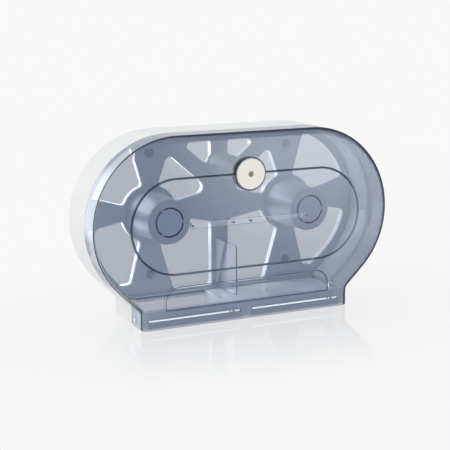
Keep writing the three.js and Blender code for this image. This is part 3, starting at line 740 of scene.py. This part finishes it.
def on_edge(x, depth, z, normal):
    """Whether a face is on the rounded outer edge of the cover, which gets the painted dark rim of shade."""
    outward = normal.x * x > 0 or normal.z > 0
    return (by_outline(x, z, EDGE_REACH) and outward and depth < EDGE_REACH
            and -EDGE_FACES < normal.y < NOT_REAR)


def on_side(x, depth, z, normal):
    """Whether a face is on the straight wall behind the cover's rounded edge, which is painted clearer as
    light.
    """
    return by_outline(x, z, SIDE_REACH) and depth > COVER_EDGE and abs(normal.y) < SIDE_FACES


cover = settle(cover_shell(), "cover_shell", "cover", smoke_plastic, ["front_cover"])
# The collar and the slopes get painted shade
paint(cover, smoke_step_painted_shade, on_step)
# The rounded edge gets the painted dark rim of shade
paint(cover, smoke_edge_painted_shade, on_edge)
# The side wall gets the clearer smoke, painted light
paint(cover, smoke_side_painted_light, on_side)


# Rear housing

BACK_EDGE = 3.0
BACK_STEPS = 8
WINDOW_EDGE = 0.7
WINDOW_STEPS = 4
HAIR = 0.01
FAR = 300.0
TONGUE_REACH = 4.5
TONGUE_WALL = 1.6
TONGUE_FOOT = 100.0
SEAM_WALL = 0.9
SEAM_LEVELS = (121.3, 122.2)
BOSS_X = 105.0
BOSS_LEVELS = (219.5, 51.0)
BOSS_RADIUS = 6.5
BOSS_RISE = 4.5
BOSS_BORE = 4.0
BOSS_FLOOR = 0.3
DOME_STEPS = 10
TOWER_EDGE = 1.2
TOWER_FLARE = 3.0
TOWER_ROOT = 1.0
TOWER_WALL = 2.8
KEY_SLOT_HALF = 5.3
KEY_SLOT_RISE = 14.0
KEY_SLOT_CORNER = 1.0
GUIDE_REACH = 6.0
GUIDE_ROOT = 1.2
GUIDE_EDGE = 0.4
DIVIDER_TOP = 92.5
GUSSET_REACH = 30.0
GUSSET_SIDES = (-7.0, -4.5)


def hub_point(angle):
    a = math.radians(angle)
    return HUB_X + HUB_RING * math.cos(a), HUB_Z + HUB_RING * math.sin(a)


def rim_point(angle):
    a = math.radians(angle)
    reach = END_RADIUS - RIM_WIDTH
    return END_SPACING / 2 + reach * math.cos(a), END_HEIGHT + reach * math.sin(a)


def along(place, start, end, steps, radius):
    """Corners of an arc between two angles, rounded at its ends and free of points beside them."""
    points = [Vector(place(start + (end - start) * i / steps)) for i in range(steps + 1)]
    clear = 1.5 * radius
    middle = [p for p in points[1:-1] if min((p - points[0]).length, (p - points[-1]).length) > clear]
    return [(*points[0], radius)] + [(*p, 0.0) for p in middle] + [(*points[-1], radius)]


def window_corners():
    """Corners of the five windows of the right half. Free corners lie at shares of the chin's
    width, the hub's place and the body's height, as in the CAD source."""
    flare_foot = body_outline(RIM_WIDTH)[1 + CORNER_STEPS]
    top = BODY_HEIGHT - TOP_RIM
    return [
        along(rim_point, 18, 72, 24, CORNER) + along(hub_point, 75, 20, 16, TIGHT_CORNER),
        along(rim_point, -46, -10, 20, CORNER) + along(hub_point, -11, -70, 16, TIGHT_CORNER)
        + [(CHIN_HALF * 0.87, BODY_HEIGHT * 0.16, TIGHT_CORNER),
           (flare_foot[0], flare_foot[1] + WALL, TIGHT_CORNER)],
        along(hub_point, 108, 159, 16, TIGHT_CORNER)
        + [(HUB_X * 0.13, BODY_HEIGHT * 0.64, CORNER / 0.7), (HUB_X * 0.74, BODY_HEIGHT * 0.86, CORNER)],
        [(HUB_X * 0.55, top, TIGHT_CORNER), (SPOKE_SIDE, top, TIGHT_CORNER / 2),
         (SPOKE_SIDE, BODY_HEIGHT * 0.764, CORNER)],
        along(hub_point, 193, 251, 16, TIGHT_CORNER)
        + [(HUB_X * 0.67, LOWER_HOLE, TIGHT_CORNER), (SPOKE_SIDE, LOWER_HOLE, TIGHT_CORNER),
           (SPOKE_SIDE, BODY_HEIGHT * 0.467, CORNER)],
    ]


def flipped(points, side):
    return points if side > 0 else [(-x, z) for x, z in points]


def grown_windows(grow, start, end):
    """A prism for each window of both halves, with its sides moved out by grow."""
    return [prism(flipped(rounded(corners, grow), side), start, end)
            for corners in window_corners() for side in (-1, 1)]


def window_cutter(corners, side):
    """Cutter of a window whose front edge is chamfered a little."""
    rings = [(WEB_DEPTH - OVERRUN, WINDOW_EDGE)]
    for i in range(WINDOW_STEPS):
        share = math.sin(math.radians(90 * i / WINDOW_STEPS))
        rings.append((WEB_DEPTH + WINDOW_EDGE * share, WINDOW_EDGE * (1 - share)))
    rings += [(WEB_DEPTH + WINDOW_EDGE, 0.0), (BODY_DEPTH + OVERRUN, 0.0)]
    return loft([(level, flipped(rounded(corners, grow), side)) for level, grow in rings])


def housing():
    rings = [(HOUSING_FRONT, body_outline(0.0))]
    rings += [(BODY_DEPTH - level, body_outline(inward))
              for level, inward in reversed(quarter(BACK_EDGE, BACK_STEPS))]
    inside = body_outline(WALL, -OVERRUN)
    foot_side = CHIN_HALF - WALL
    tub = cut(
        loft(rings),
        prism(inside, HOUSING_FRONT - OVERRUN, WEB_DEPTH),
        prism(inside, WEB_BACK, BODY_DEPTH + OVERRUN),
        block(-foot_side, foot_side, -OVERRUN, WEB_FOOT, WEB_DEPTH - OVERRUN, BODY_DEPTH + OVERRUN))
    foot_rib = block(-foot_side - GAP, foot_side + GAP, WEB_FOOT, WEB_FOOT + RIB, WEB_DEPTH, BODY_DEPTH)
    openings = [window_cutter(corners, side) for corners in window_corners() for side in (-1, 1)]
    return cut(join(tub, foot_rib, *grown_windows(RIB, WEB_DEPTH + HAIR, BODY_DEPTH)), *openings)


def band(outer, inner, start, end):
    """A band along the body's outline, between the insets outer and inner."""
    return cut(prism(body_outline(outer), start, end),
               prism(body_outline(inner), start - OVERRUN, end + OVERRUN))


def tongue():
    """The rim that reaches into the cover, along the upper half only."""
    start, end = HOUSING_FRONT - TONGUE_REACH, HOUSING_FRONT + TONGUE_REACH
    outer = WALL + 2 * GAP
    inner = outer + TONGUE_WALL
    upper = block(-FAR, FAR, TONGUE_FOOT, FAR, start - OVERRUN, end + OVERRUN)
    return overlap(join(band(outer, inner, start, end), band(WALL / 2, inner, HOUSING_FRONT, end)), upper)


def side_ribs():
    """A low rib on the inner side of each end, which shows as a line behind the cover."""
    return overlap(band(WALL / 2, WALL + SEAM_WALL, HOUSING_FRONT, WEB_DEPTH + GAP),
                   block(-FAR, FAR, *SEAM_LEVELS, 0, FAR))


def boss(x, z):
    angles = [math.radians(90 * i / DOME_STEPS) for i in range(DOME_STEPS + 1)]
    dome = [(BOSS_RADIUS * math.sin(a), WEB_DEPTH - BOSS_RISE * math.cos(a)) for a in angles]
    floor = WEB_DEPTH + BOSS_FLOOR
    return turned(dome + [(BOSS_RADIUS, BODY_DEPTH), (BOSS_BORE, BODY_DEPTH), (BOSS_BORE, floor),
                          (0, floor)], x, z, MEDIUM_STEPS)


def housing_moulding():
    shell = join(housing(), tongue(), side_ribs())
    hubs = [(s * HUB_X, HUB_Z) for s in (-1, 1)]
    screws = [(s * BOSS_X, z) for s in (-1, 1) for z in BOSS_LEVELS]
    sockets = [rod(SPINDLE_RADIUS + GAP + WALL, WEB_DEPTH + 2 * HAIR, BODY_DEPTH, x, z) for x, z in hubs]
    bosses = [boss(x, z) for x, z in screws]
    flare, root = TOWER_RADIUS + TOWER_FLARE, WEB_DEPTH + TOWER_ROOT
    tower = turned(rounded([
        (0, TOWER_FRONT), (TOWER_RADIUS, TOWER_FRONT, TOWER_EDGE), (TOWER_RADIUS, WEB_DEPTH - TOWER_FLARE),
        (flare, WEB_DEPTH), (flare, root), (TOWER_RADIUS, root), (TOWER_RADIUS, BODY_DEPTH),
        (0, BODY_DEPTH)], steps=6), 0, LOCK_Z)
    side = CHIN_HALF - WALL / 2
    guide = rectangle(-side, side, WEB_DEPTH - GUIDE_REACH, WEB_DEPTH + GUIDE_ROOT)
    guides = [soft_prism(guide, foot, top, GUIDE_EDGE, to_slab)
              for foot, top in ((LEDGE_TOP - WALL, LEDGE_TOP), (LIP_FOOT, LIP_TOP))]
    gusset = prism([(WEB_DEPTH + GUIDE_ROOT, LIP_FOOT), (WEB_DEPTH + GUIDE_ROOT, DIVIDER_TOP),
                    (WEB_DEPTH - GUSSET_REACH, DIVIDER_TOP), (WEB_DEPTH, LIP_FOOT)], *GUSSET_SIDES, to_bar)
    whole = join(shell, *sockets, *bosses, tower, *guides, gusset)
    rear = BODY_DEPTH + OVERRUN
    holes = [rod(SPINDLE_RADIUS + GAP, WEB_DEPTH - OVERRUN, rear, x, z) for x, z in hubs]
    holes += [rod(BOSS_BORE, WEB_DEPTH + BOSS_FLOOR, rear, x, z, steps=MEDIUM_STEPS) for x, z in screws]
    holes.append(rod(TOWER_RADIUS - WALL, TOWER_FRONT + WALL, rear, 0, LOCK_Z))
    holes.append(block(-KEY_SLOT_HALF, KEY_SLOT_HALF, LOCK_Z - KEY_SLOT_RISE, LOCK_Z + KEY_SLOT_RISE,
                       TOWER_FRONT - OVERRUN, TOWER_FRONT + TOWER_WALL, KEY_SLOT_CORNER))
    return cut(whole, *holes)


SKIN = 2.0
SKIN_FACES = 0.9
BEFORE_HOUSING = 0.1
BOSS_AREA = 9.0
BEFORE_WEB = 0.2
LINER_SHARE = 0.6
LINING_START = HOUSING_FRONT + 5.0
LINING_END = WEB_DEPTH - 0.5
LINING_OUTER = WALL * 0.55
LINING_INNER = WALL + 0.6


def on_skin(x, depth, z, normal):
    """Whether a face is on the outside of the housing, which is painted a darker white as shade."""
    if depth < HOUSING_FRONT - BEFORE_HOUSING:
        return False
    if z > ROUND_FOOT and abs(x) > END_SPACING / 2 or z > END_HEIGHT:
        return reach_of(x, z) > END_RADIUS - SKIN
    return abs(x) > CHIN_HALF - SKIN and abs(normal.y) < SKIN_FACES and normal.x * x > 0


def on_shaded_boss(x, depth, z, normal):
    """Whether a face is on one of the four domes of the web, which are painted darker as shade."""
    return depth < WEB_DEPTH - BEFORE_WEB and any(
        math.hypot(abs(x) - BOSS_X, z - level) < BOSS_AREA for level in BOSS_LEVELS)


def liners():
    """The windows, grown into the rib that runs round each."""
    return grown_windows(RIB * LINER_SHARE, WEB_DEPTH - OVERRUN, BODY_DEPTH + OVERRUN)


def lining():
    """The inner side of the outer wall, between the housing's front edge and the web."""
    return band(LINING_OUTER, LINING_INNER, LINING_START, LINING_END)


def housing_piece(shape, name, material):
    return settle(shape, name, "housing", material, ["rear_housing"])


moulding = housing_piece(cut(housing_moulding(), lining(), *liners()), "housing_moulding", white_plastic)
# The outside of the housing gets the darker white, painted shade
paint(moulding, white_skin_painted_shade, on_skin)
# The four domes get painted shade
paint(moulding, boss_painted_shade, on_shaded_boss)
# The inner wall and the window rims get the brighter white, painted light, besides their own lamps
housing_piece(overlap(housing_moulding(), lining()), "inner_wall", white_rim_painted_light)
housing_piece(overlap(housing_moulding(), join(*liners())), "window_rims", white_rim_painted_light)


# Chin frame

CHEEK_BACK = HOUSING_FRONT + 16.0
FRAME_CORNER = 5.0
FRAME_INNER_CORNER = 3.0
FRAME_EDGE = 0.6
LEDGE_BACK = RAIL_FRONT + 12.0
LIP_BACK = RAIL_FRONT + 8.0
LIP_SETBACK = 0.5
SUNK = 0.1
PIN_SEAT = 1.25


def chin_frame():
    foot, top = 2 * GAP, LIP_TOP
    rail_back = RAIL_FRONT + WALL
    corners = [(-CHEEK_OUTER, RAIL_FRONT, FRAME_CORNER), (CHEEK_OUTER, RAIL_FRONT, FRAME_CORNER),
               (CHEEK_OUTER, CHEEK_BACK), (CHEEK_INNER, CHEEK_BACK),
               (CHEEK_INNER, rail_back, FRAME_INNER_CORNER), (-CHEEK_INNER, rail_back, FRAME_INNER_CORNER),
               (-CHEEK_INNER, CHEEK_BACK), (-CHEEK_OUTER, CHEEK_BACK)]
    upright = soft_prism(corners, foot, top, FRAME_EDGE, to_slab)
    inner, front = CHEEK_INNER + GAP, RAIL_FRONT + GAP
    ledge = block(-inner, inner, front, LEDGE_BACK, LEDGE_TOP - WALL, LEDGE_TOP, place=to_slab)
    lip = block(-inner, inner, front + LIP_SETBACK, LIP_BACK, LIP_FOOT, LIP_TOP - SUNK, place=to_slab)
    roots, holes = [], []
    for side in (-1, 1):
        a, b = sorted((side * CHEEK_INNER, side * (CHIN_HALF - WALL - GAP)))
        roots.append(block(a, b, HOUSING_FRONT + GAP, CHEEK_BACK - SUNK, foot + SUNK, top - SUNK,
                           place=to_slab))
        holes.append(hinge_hole(PIN_STEEL_RADIUS, CHEEK_INNER + PIN_SEAT, CHEEK_OUTER + OVERRUN, side))
    return cut(join(upright, ledge, lip, *roots), *holes)


# The chin frame gets the brighter white, painted light
settle(chin_frame(), "chin_frame_moulding", "housing", chin_white_painted_light, ["chin_frame"])


# Hubs and their caps

HUB_EDGE = 3.0
HUB_INNER_EDGE = 0.5
FLANGE_EDGE = 0.4
FLANGE_FRONT = 3.5
FLANGE_STEP = 1.2
DISC_INSET = 0.7
DISC_EDGE = 0.6
STEM_RADIUS = 4.0
STEM_LENGTH = 8.0
TAB_COUNT = 3
TAB_HALF = 1.7
TAB_SUNK = 0.15
TAB_REAR = 0.05
SLOT_MARGIN = 0.05
SLOT_FRONT = 0.8


def hub(x):
    rear = WEB_DEPTH - GAP
    bore = SPINDLE_RADIUS + GAP
    recess = CAP_RADIUS + RING_GAP
    flange = HUB_REAR_RADIUS + WALL
    slot_end = HUB_FRONT + CAP_THICKNESS + GAP + SLOT_DEPTH
    profile = rounded([
        (recess, HUB_FRONT, HUB_INNER_EDGE), (HUB_FRONT_RADIUS, HUB_FRONT, HUB_EDGE),
        (HUB_REAR_RADIUS, rear - FLANGE_FRONT, HUB_EDGE), (flange, rear - FLANGE_STEP, FLANGE_EDGE),
        (flange, rear), (HUB_REAR_RADIUS - WALL, rear), (HUB_FRONT_RADIUS - WALL, slot_end + WALL),
        (bore, slot_end + WALL), (bore, slot_end), (recess, slot_end)], steps=8)
    return turned(profile, x, HUB_Z)


def cap(x):
    back = HUB_FRONT + CAP_THICKNESS
    disc = rod(CAP_RADIUS - DISC_INSET, HUB_FRONT, back, x, HUB_Z, DISC_EDGE)
    stem = rod(STEM_RADIUS, back - GAP, back + STEM_LENGTH, x, HUB_Z, steps=PIN_STEPS)
    tabs = []
    for k in range(TAB_COUNT):
        a = 2 * math.pi * k / TAB_COUNT
        ring = [(x + u * math.cos(a) - v * math.sin(a), HUB_Z + u * math.sin(a) + v * math.cos(a))
                for u, v, _ in rectangle(0, CAP_RADIUS + RING_GAP - GAP, -TAB_HALF, TAB_HALF)]
        tabs.append(prism(ring, HUB_FRONT + TAB_SUNK, back - TAB_REAR))
    return join(disc, stem, *tabs)


def shaded_slot_of(hub_x):
    """The test for faces of the hub at hub_x that are in the slot round its cap, painted near black as the
    slot's shade.
    """
    def on_shaded_slot(x, depth, z, normal):
        reach = math.hypot(x - hub_x, z - HUB_Z)
        return reach < CAP_RADIUS + RING_GAP + SLOT_MARGIN and depth > HUB_FRONT + SLOT_FRONT
    return on_shaded_slot


# Hubs and caps get darker, bluer copies of the white plastic, painted shade
for side, word in ((-1, "left"), (1, "right")):
    sleeve = settle(hub(side * HUB_X), "hub_" + word + "_turning", "hub_" + word,
                    hub_plastic, ["hub_sleeve_" + word])
    # The slot round each cap is painted near black as its shade
    paint(sleeve, slot_painted_shade, shaded_slot_of(side * HUB_X))
    settle(cap(side * HUB_X), "cap_" + word, "housing", cap_painted_shade,
           ["spindle_cap_" + word])


# Lock

DISC_CROWN = 0.25
DISC_SLOPE = 2.5
DISC_SLOPE_ROUND = 6.0
DISC_RIM_EDGE = 0.9
BARREL_EDGE = 0.5
BARREL_END = 15.0
PLUG_RADIUS = 3.6
PLUG_FRONT = LOCK_FRONT + 0.6
PLUG_END = 22.3
PLUG_EDGE = 0.3
PLUG_RING = (2.5, 2.9)
PLUG_RING_DEPTH = 0.35
KEYWAY_HALF = 0.55
KEYWAY_RISE = 1.9
KEYWAY_DEPTH = 8.0


def lock_disc():
    back = LOCK_WELL - GAP
    profile = rounded([
        (0, LOCK_FRONT + DISC_CROWN), (LOCK_RADIUS - DISC_SLOPE, LOCK_FRONT, DISC_SLOPE_ROUND),
        (LOCK_RADIUS, LOCK_FRONT, DISC_RIM_EDGE), (LOCK_RADIUS, back, BARREL_EDGE),
        (BARREL_RADIUS, back), (BARREL_RADIUS, BARREL_END, BARREL_EDGE), (0, BARREL_END)], steps=6)
    bore = rod(PLUG_RADIUS + GAP, LOCK_FRONT - OVERRUN, BARREL_END + OVERRUN, 0, LOCK_Z,
               steps=MEDIUM_STEPS)
    return cut(turned(profile, 0, LOCK_Z), bore)


def lock_barrel():
    barrel = rod(PLUG_RADIUS, PLUG_FRONT, PLUG_END, 0, LOCK_Z, PLUG_EDGE, MEDIUM_STEPS)
    keyway = block(-KEYWAY_HALF, KEYWAY_HALF, LOCK_Z - KEYWAY_RISE, LOCK_Z + KEYWAY_RISE,
                   PLUG_FRONT - OVERRUN, PLUG_FRONT + KEYWAY_DEPTH, PLUG_EDGE)
    inner, outer = PLUG_RING
    ring = cut(rod(outer, PLUG_FRONT - GAP, PLUG_FRONT + PLUG_RING_DEPTH, 0, LOCK_Z, steps=MEDIUM_STEPS),
               rod(inner, PLUG_FRONT - OVERRUN, PLUG_FRONT + OVERRUN, 0, LOCK_Z, steps=MEDIUM_STEPS))
    return cut(barrel, keyway, ring)


settle(lock_disc(), "lock_disc", "cover", lock_white, ["lock_body"])
settle(lock_barrel(), "lock_barrel", "lock", lock_brass, ["lock_plug"])


# Name strip

STRIP_CORNER = 1.9
STRIP_EDGE = 0.7


def strip():
    half = STRIP_HEIGHT / 2
    body = soft_prism(rectangle(-STRIP_HALF, STRIP_HALF, END_HEIGHT - half, END_HEIGHT + half, STRIP_CORNER),
                      STRIP_BACK - STRIP_THICKNESS, STRIP_BACK, STRIP_EDGE, ends=(True, False), steps=6)
    return cut(body, *[rod(PIN_RADIUS + GAP, AHEAD, OVERRUN, x, END_HEIGHT, steps=SMALL_STEPS)
                       for x in PIN_PLACES])


settle(strip(), "strip_bar", "cover", strip_plastic, ["name_strip"])


# Shutter, divider and tear bars

SHUTTER_LENGTH = 172.0
SHUTTER_PLAY = 2.0
SHUTTER_CORNER = 1.0
SHUTTER_EDGE = 0.5
TRAY_WALL = 1.8
TRAY_FOOT = SHUTTER_TOP - 13.5
DIVIDER_LEFT = -4.2
DIVIDER_THICKNESS = 2.0
DIVIDER_FRONT = 34.0
DIVIDER_CORNER = 6.0
SMALL_EDGE = 0.35
TOOTH_COUNT = 34
TOOTH_ROOT = 3.0
TOOTH_TIP = 1.2
BLADE_PAST = 20.0
BLADE_THICKNESS = 1.2
RIB_CORNER = 0.4
CATCH_CORNER = 0.3
CATCH_EDGE = 0.25


def shutter():
    right = CHEEK_INNER - SHUTTER_PLAY
    left = right - SHUTTER_LENGTH
    front, rear = RAIL_FRONT + WALL + 2 * GAP, WEB_DEPTH - 2 * GAP
    tray_front, tray_rear = LEDGE_BACK + 2 * GAP, WEB_DEPTH - GUIDE_REACH - 2 * GAP
    top = soft_prism(rectangle(left, right, front, rear, SHUTTER_CORNER), SHUTTER_FLOOR, SHUTTER_TOP,
                     SHUTTER_EDGE, to_slab)
    tray = block(left, right, tray_front, tray_rear, TRAY_FOOT, SHUTTER_TOP - GAP, TRAY_WALL, to_slab)
    hollow = block(left + TRAY_WALL, right - TRAY_WALL, tray_front + TRAY_WALL, tray_rear - TRAY_WALL,
                   TRAY_FOOT - OVERRUN, SHUTTER_FLOOR, SHUTTER_CORNER, to_slab)
    return cut(join(top, tray), hollow)


def divider():
    foot, rear = LIP_TOP + GAP, WEB_DEPTH - GAP
    corners = [(DIVIDER_FRONT, foot), (rear, foot), (rear, DIVIDER_TOP),
               (DIVIDER_FRONT, DIVIDER_TOP, DIVIDER_CORNER)]
    return soft_prism(corners, DIVIDER_LEFT, DIVIDER_LEFT + DIVIDER_THICKNESS, SMALL_EDGE, to_bar)


def tear_bar(x):
    front = WALL + GAP
    back = front + GAP
    top = RIB_LEVEL + RIB_HALF
    length = BAR_LENGTH + BLADE_PAST
    pitch = length / TOOTH_COUNT
    edge = []
    for i in range(TOOTH_COUNT):
        edge += [(x + i * pitch, TOOTH_ROOT), (x + (i + 0.5) * pitch, TOOTH_TIP)]
    blade = prism(edge + [(x + length, TOOTH_ROOT), (x + length, top), (x, top)], front,
                  front + BLADE_THICKNESS)
    end = x + BAR_LENGTH
    rib = soft_prism(rectangle(x, end, RIB_LEVEL - RIB_HALF, top, RIB_CORNER), 0.0, back, SMALL_EDGE,
                     ends=(True, False))
    peg = rod(PEG_RADIUS, 0.0, back, end + PEG_PLACE, RIB_LEVEL, CATCH_CORNER, SMALL_STEPS)
    catch = soft_prism(rectangle(end + CATCH[0], end + CATCH[1], RIB_LEVEL - CATCH_HALF,
                                 RIB_LEVEL + CATCH_HALF, CATCH_CORNER), 0.0, back, CATCH_EDGE,
                       ends=(True, False))
    return join(blade, rib, peg, catch)


# The shutter's white is brighter than the housing's, painted light
settle(shutter(), "shutter_tray", "shutter", white_gloss, ["shutter"])
settle(divider(), "divider_plate", "housing", divider_plastic, ["roll_divider"])
for number, start in enumerate(BAR_STARTS, 1):
    settle(tear_bar(start), "tear_rail_%d" % number, "cover", tear_plastic,
           ["tear_bar_%d" % number])


# CAD nodes that stay

KEPT = (
    (white_plastic, ("spindle_left", "spindle_right")),
    (pin_steel, ("hinge_pin_left", "hinge_pin_right")),
    (lock_metal, ("lock_nut", "lock_cam", "lock_cam_screw")),
    (strip_pin, ["strip_pin_%d" % number for number in range(1, 6)]),
)
for material, names in KEPT:
    for name in names:
        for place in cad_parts[name].material_slots:
            place.material = material


# Stage, light and camera

BACKDROP = 0.935
BLACK = (0.0, 0.0, 0.0)

# Scattered light, by direction
LIGHT_LEAN = (-0.66, 0.65, 0.38)
LIGHT_MIDDLE = 0.1
WORLD_FRONT = (1.10, 1.19, 1.27)
WORLD_SIDE = (0.84, 0.90, 0.95)
WORLD_BACK = (1.14, 1.12, 1.10)

# Soft lights that only mirror rays see: direction, where they start and are full, and colour
LEFT_AIM = (-0.36, 0.93, 0.05)
LEFT_RANGE = (0.93, 0.985)
LEFT_BOX = (2.75, 2.85, 3.00)
RIGHT_AIM = (0.487, -0.868, -0.100)
RIGHT_RANGE = (0.99820, 0.99990)
RIGHT_BOX = (6.4, 6.5, 6.7)

FLOOR_HALF = 40.0
FLOOR_LEVEL = -0.0003
FLOOR_SQUEEZE = (0.6, 1.0, 0.0)
FLOOR_WHITE = 0.9
FLOOR_GLOSS_ROUGH = 0.08

# Shares of paper and of gloss in the floor: near, far, share near, share far, in metres
PAPER_FADE = (0.3, 1.6, 0.13, 0.0)
GLOSS_FADE = (0.1, 0.32, 0.2, 0.0)

CAMERA_YAW = 0.448683
CAMERA_PITCH = 0.202916
CAMERA_ROLL = 0.002511
CAMERA_LENS = 93.403
CAMERA_SENSOR = 36.0
CAMERA_PLACE = (-0.68832, -1.40393, 0.44021)

MAX_BOUNCES = 16
CLEAR_BOUNCES = 14
STRAIGHT_BOUNCES = 24

# Place, aim and size of the two lamps behind the object
BEHIND = ((-0.12, 0.20, 0.15), (-0.02, 0, 0.13), (0.24, 0.22))

# Name, place, aim, size, watts and the pieces that the lamp lights, or none for all of them
LAMPS = (
    ("key", (-1.3, 0.9, 1.0), (0, 0, 0.12), (1.0, 1.0), 2.5, ()),
    ("back_panel", *BEHIND, 0.8, ("window_rims",)),
    ("hub_panel", *BEHIND, 0.90, ("hub_left_turning", "hub_right_turning", "cap_left", "cap_right",
                                  "divider_plate", "shutter_tray")),
    ("left_panel", (-0.95, -0.90, 0.20), (0.18, 0.01, 0.14), (0.7, 0.7), 9.0, ("inner_wall",)),
    ("foot_panel", (-0.50, -0.60, 0.70), (0, 0, 0.03), (0.5, 0.5), 3.0,
     ("chin_frame_moulding", "shutter_tray")),
)


def build_stage():
    """Pale floor that takes a soft shadow and, close to the object, its reflection. It lets the
    backdrop through, because the open cover hangs below the foot."""
    half = FLOOR_HALF
    mesh = bpy.data.meshes.new("floor")
    mesh.from_pydata([(-half, -half, 0), (half, -half, 0), (half, half, 0), (-half, half, 0)], [],
                     [(0, 1, 2, 3)])
    floor = bpy.data.objects.new("floor", mesh)
    bpy.context.scene.collection.objects.link(floor)
    floor.location.z = FLOOR_LEVEL
    material, tree, shader = new_material("floor_paper")
    tree.nodes.remove(shader)
    place = new_node(tree, "TexCoord").outputs["Object"]
    squeezed = vectors(tree, "MULTIPLY", place, FLOOR_SQUEEZE)["Vector"]
    away = vectors(tree, "LENGTH", squeezed)["Value"]
    clear = new_node(tree, "BsdfTransparent")
    paper = new_node(tree, "BsdfDiffuse", Color=opaque([FLOOR_WHITE] * 3))
    gloss = new_node(tree, "BsdfGlossy", Roughness=FLOOR_GLOSS_ROUGH)
    matt = mixed(tree, ranged(tree, away, *PAPER_FADE, "SMOOTHSTEP"), clear.outputs["BSDF"],
                 paper.outputs["BSDF"])
    near = ranged(tree, away, *GLOSS_FADE, "SMOOTHSTEP")
    surface(tree, mixed(tree, near, matt, gloss.outputs["BSDF"]))
    mesh.materials.append(material)
    floor.visible_glossy = False


def build_world():
    """The pale backdrop, seen by the camera, through clear plastic and in mirrors, two soft
    lights in mirrors alone, and scattered light from all round."""
    world = bpy.data.worlds.new("studio")
    bpy.context.scene.world = world
    world.use_nodes = True
    tree = world.node_tree
    backdrop = tree.nodes["Background"]
    backdrop.inputs["Color"].default_value = (1, 1, 1, 1)
    backdrop.inputs["Strength"].default_value = BACKDROP
    seen = backdrop.outputs["Background"]
    place = new_node(tree, "TexCoord").outputs["Generated"]

    def lobe(aim, *stops):
        """Light that depends on how near a direction is to aim, by (dot product, colour) stops."""
        lean = vectors(tree, "DOT_PRODUCT", place, Vector(aim).normalized())["Value"]
        ramp = new_node(tree, "ValToRGB", ranged(tree, lean, -1.0, 1.0))
        ramp.color_ramp.interpolation = "EASE"
        (first, start), *between, (last, end) = stops
        elements = ramp.color_ramp.elements
        elements[0].position, elements[0].color = (first + 1) / 2, opaque(start)
        elements[1].position, elements[1].color = (last + 1) / 2, opaque(end)
        for dot, colour in between:
            elements.new((dot + 1) / 2).color = opaque(colour)
        return new_node(tree, "Background", ramp.outputs["Color"]).outputs["Background"]

    def box(aim, limits, colour):
        return lobe(aim, (limits[0], BLACK), (limits[1], colour), (1.0, colour))

    def added(first, second):
        both = new_node(tree, "AddShader", first)
        tree.links.new(second, both.inputs[1])
        return both.outputs["Shader"]

    scattered = lobe(LIGHT_LEAN, (-1.0, WORLD_FRONT), (LIGHT_MIDDLE, WORLD_SIDE), (1.0, WORLD_BACK))
    mirrored = added(added(seen, box(LEFT_AIM, LEFT_RANGE, LEFT_BOX)),
                     box(RIGHT_AIM, RIGHT_RANGE, RIGHT_BOX))
    way = new_node(tree, "LightPath")
    unseen = mixed(tree, way.outputs["Is Glossy Ray"], scattered, mirrored)
    whole = mixed(tree, either_ray(tree, "Is Camera Ray", "Is Transmission Ray"), unseen, seen)
    surface(tree, whole, "World Output")


def build_lamp(name, place, aim, size, watts, pieces):
    light = bpy.data.lights.new(name, "AREA")
    light.shape = "RECTANGLE"
    light.size, light.size_y = size
    light.energy = watts
    lamp = bpy.data.objects.new(name, light)
    bpy.context.scene.collection.objects.link(lamp)
    lamp.location = place
    lamp.rotation_euler = (Vector(aim) - Vector(place)).to_track_quat("-Z", "Y").to_euler()
    lamp.visible_camera = False
    lamp.visible_transmission = False
    if pieces:
        lit = bpy.data.collections.new("lit_by_" + name)
        for piece in pieces:
            lit.objects.link(bpy.data.objects[piece])
        lamp.light_linking.receiver_collection = lit


def build_camera():
    flat = math.cos(CAMERA_PITCH)
    forward = Vector((math.sin(CAMERA_YAW) * flat, math.cos(CAMERA_YAW) * flat, -math.sin(CAMERA_PITCH)))
    right = Vector((math.cos(CAMERA_YAW), -math.sin(CAMERA_YAW), 0.0))
    down = forward.cross(right)
    across = right * math.cos(CAMERA_ROLL) + down * math.sin(CAMERA_ROLL)
    down = down * math.cos(CAMERA_ROLL) - right * math.sin(CAMERA_ROLL)
    camera = bpy.data.cameras.new("camera")
    camera.lens = CAMERA_LENS
    camera.sensor_width = CAMERA_SENSOR
    holder = bpy.data.objects.new("camera", camera)
    bpy.context.scene.collection.objects.link(holder)
    turn = Matrix((across, -down, -forward)).transposed().to_4x4()
    holder.matrix_world = Matrix.Translation(CAMERA_PLACE) @ turn
    bpy.context.scene.camera = holder


build_stage()
build_world()
for lamp in LAMPS:
    build_lamp(*lamp)
build_camera()
bpy.context.scene.view_settings.view_transform = "Standard"
bpy.context.scene.cycles.max_bounces = MAX_BOUNCES
bpy.context.scene.cycles.transmission_bounces = CLEAR_BOUNCES
bpy.context.scene.cycles.transparent_max_bounces = STRAIGHT_BOUNCES
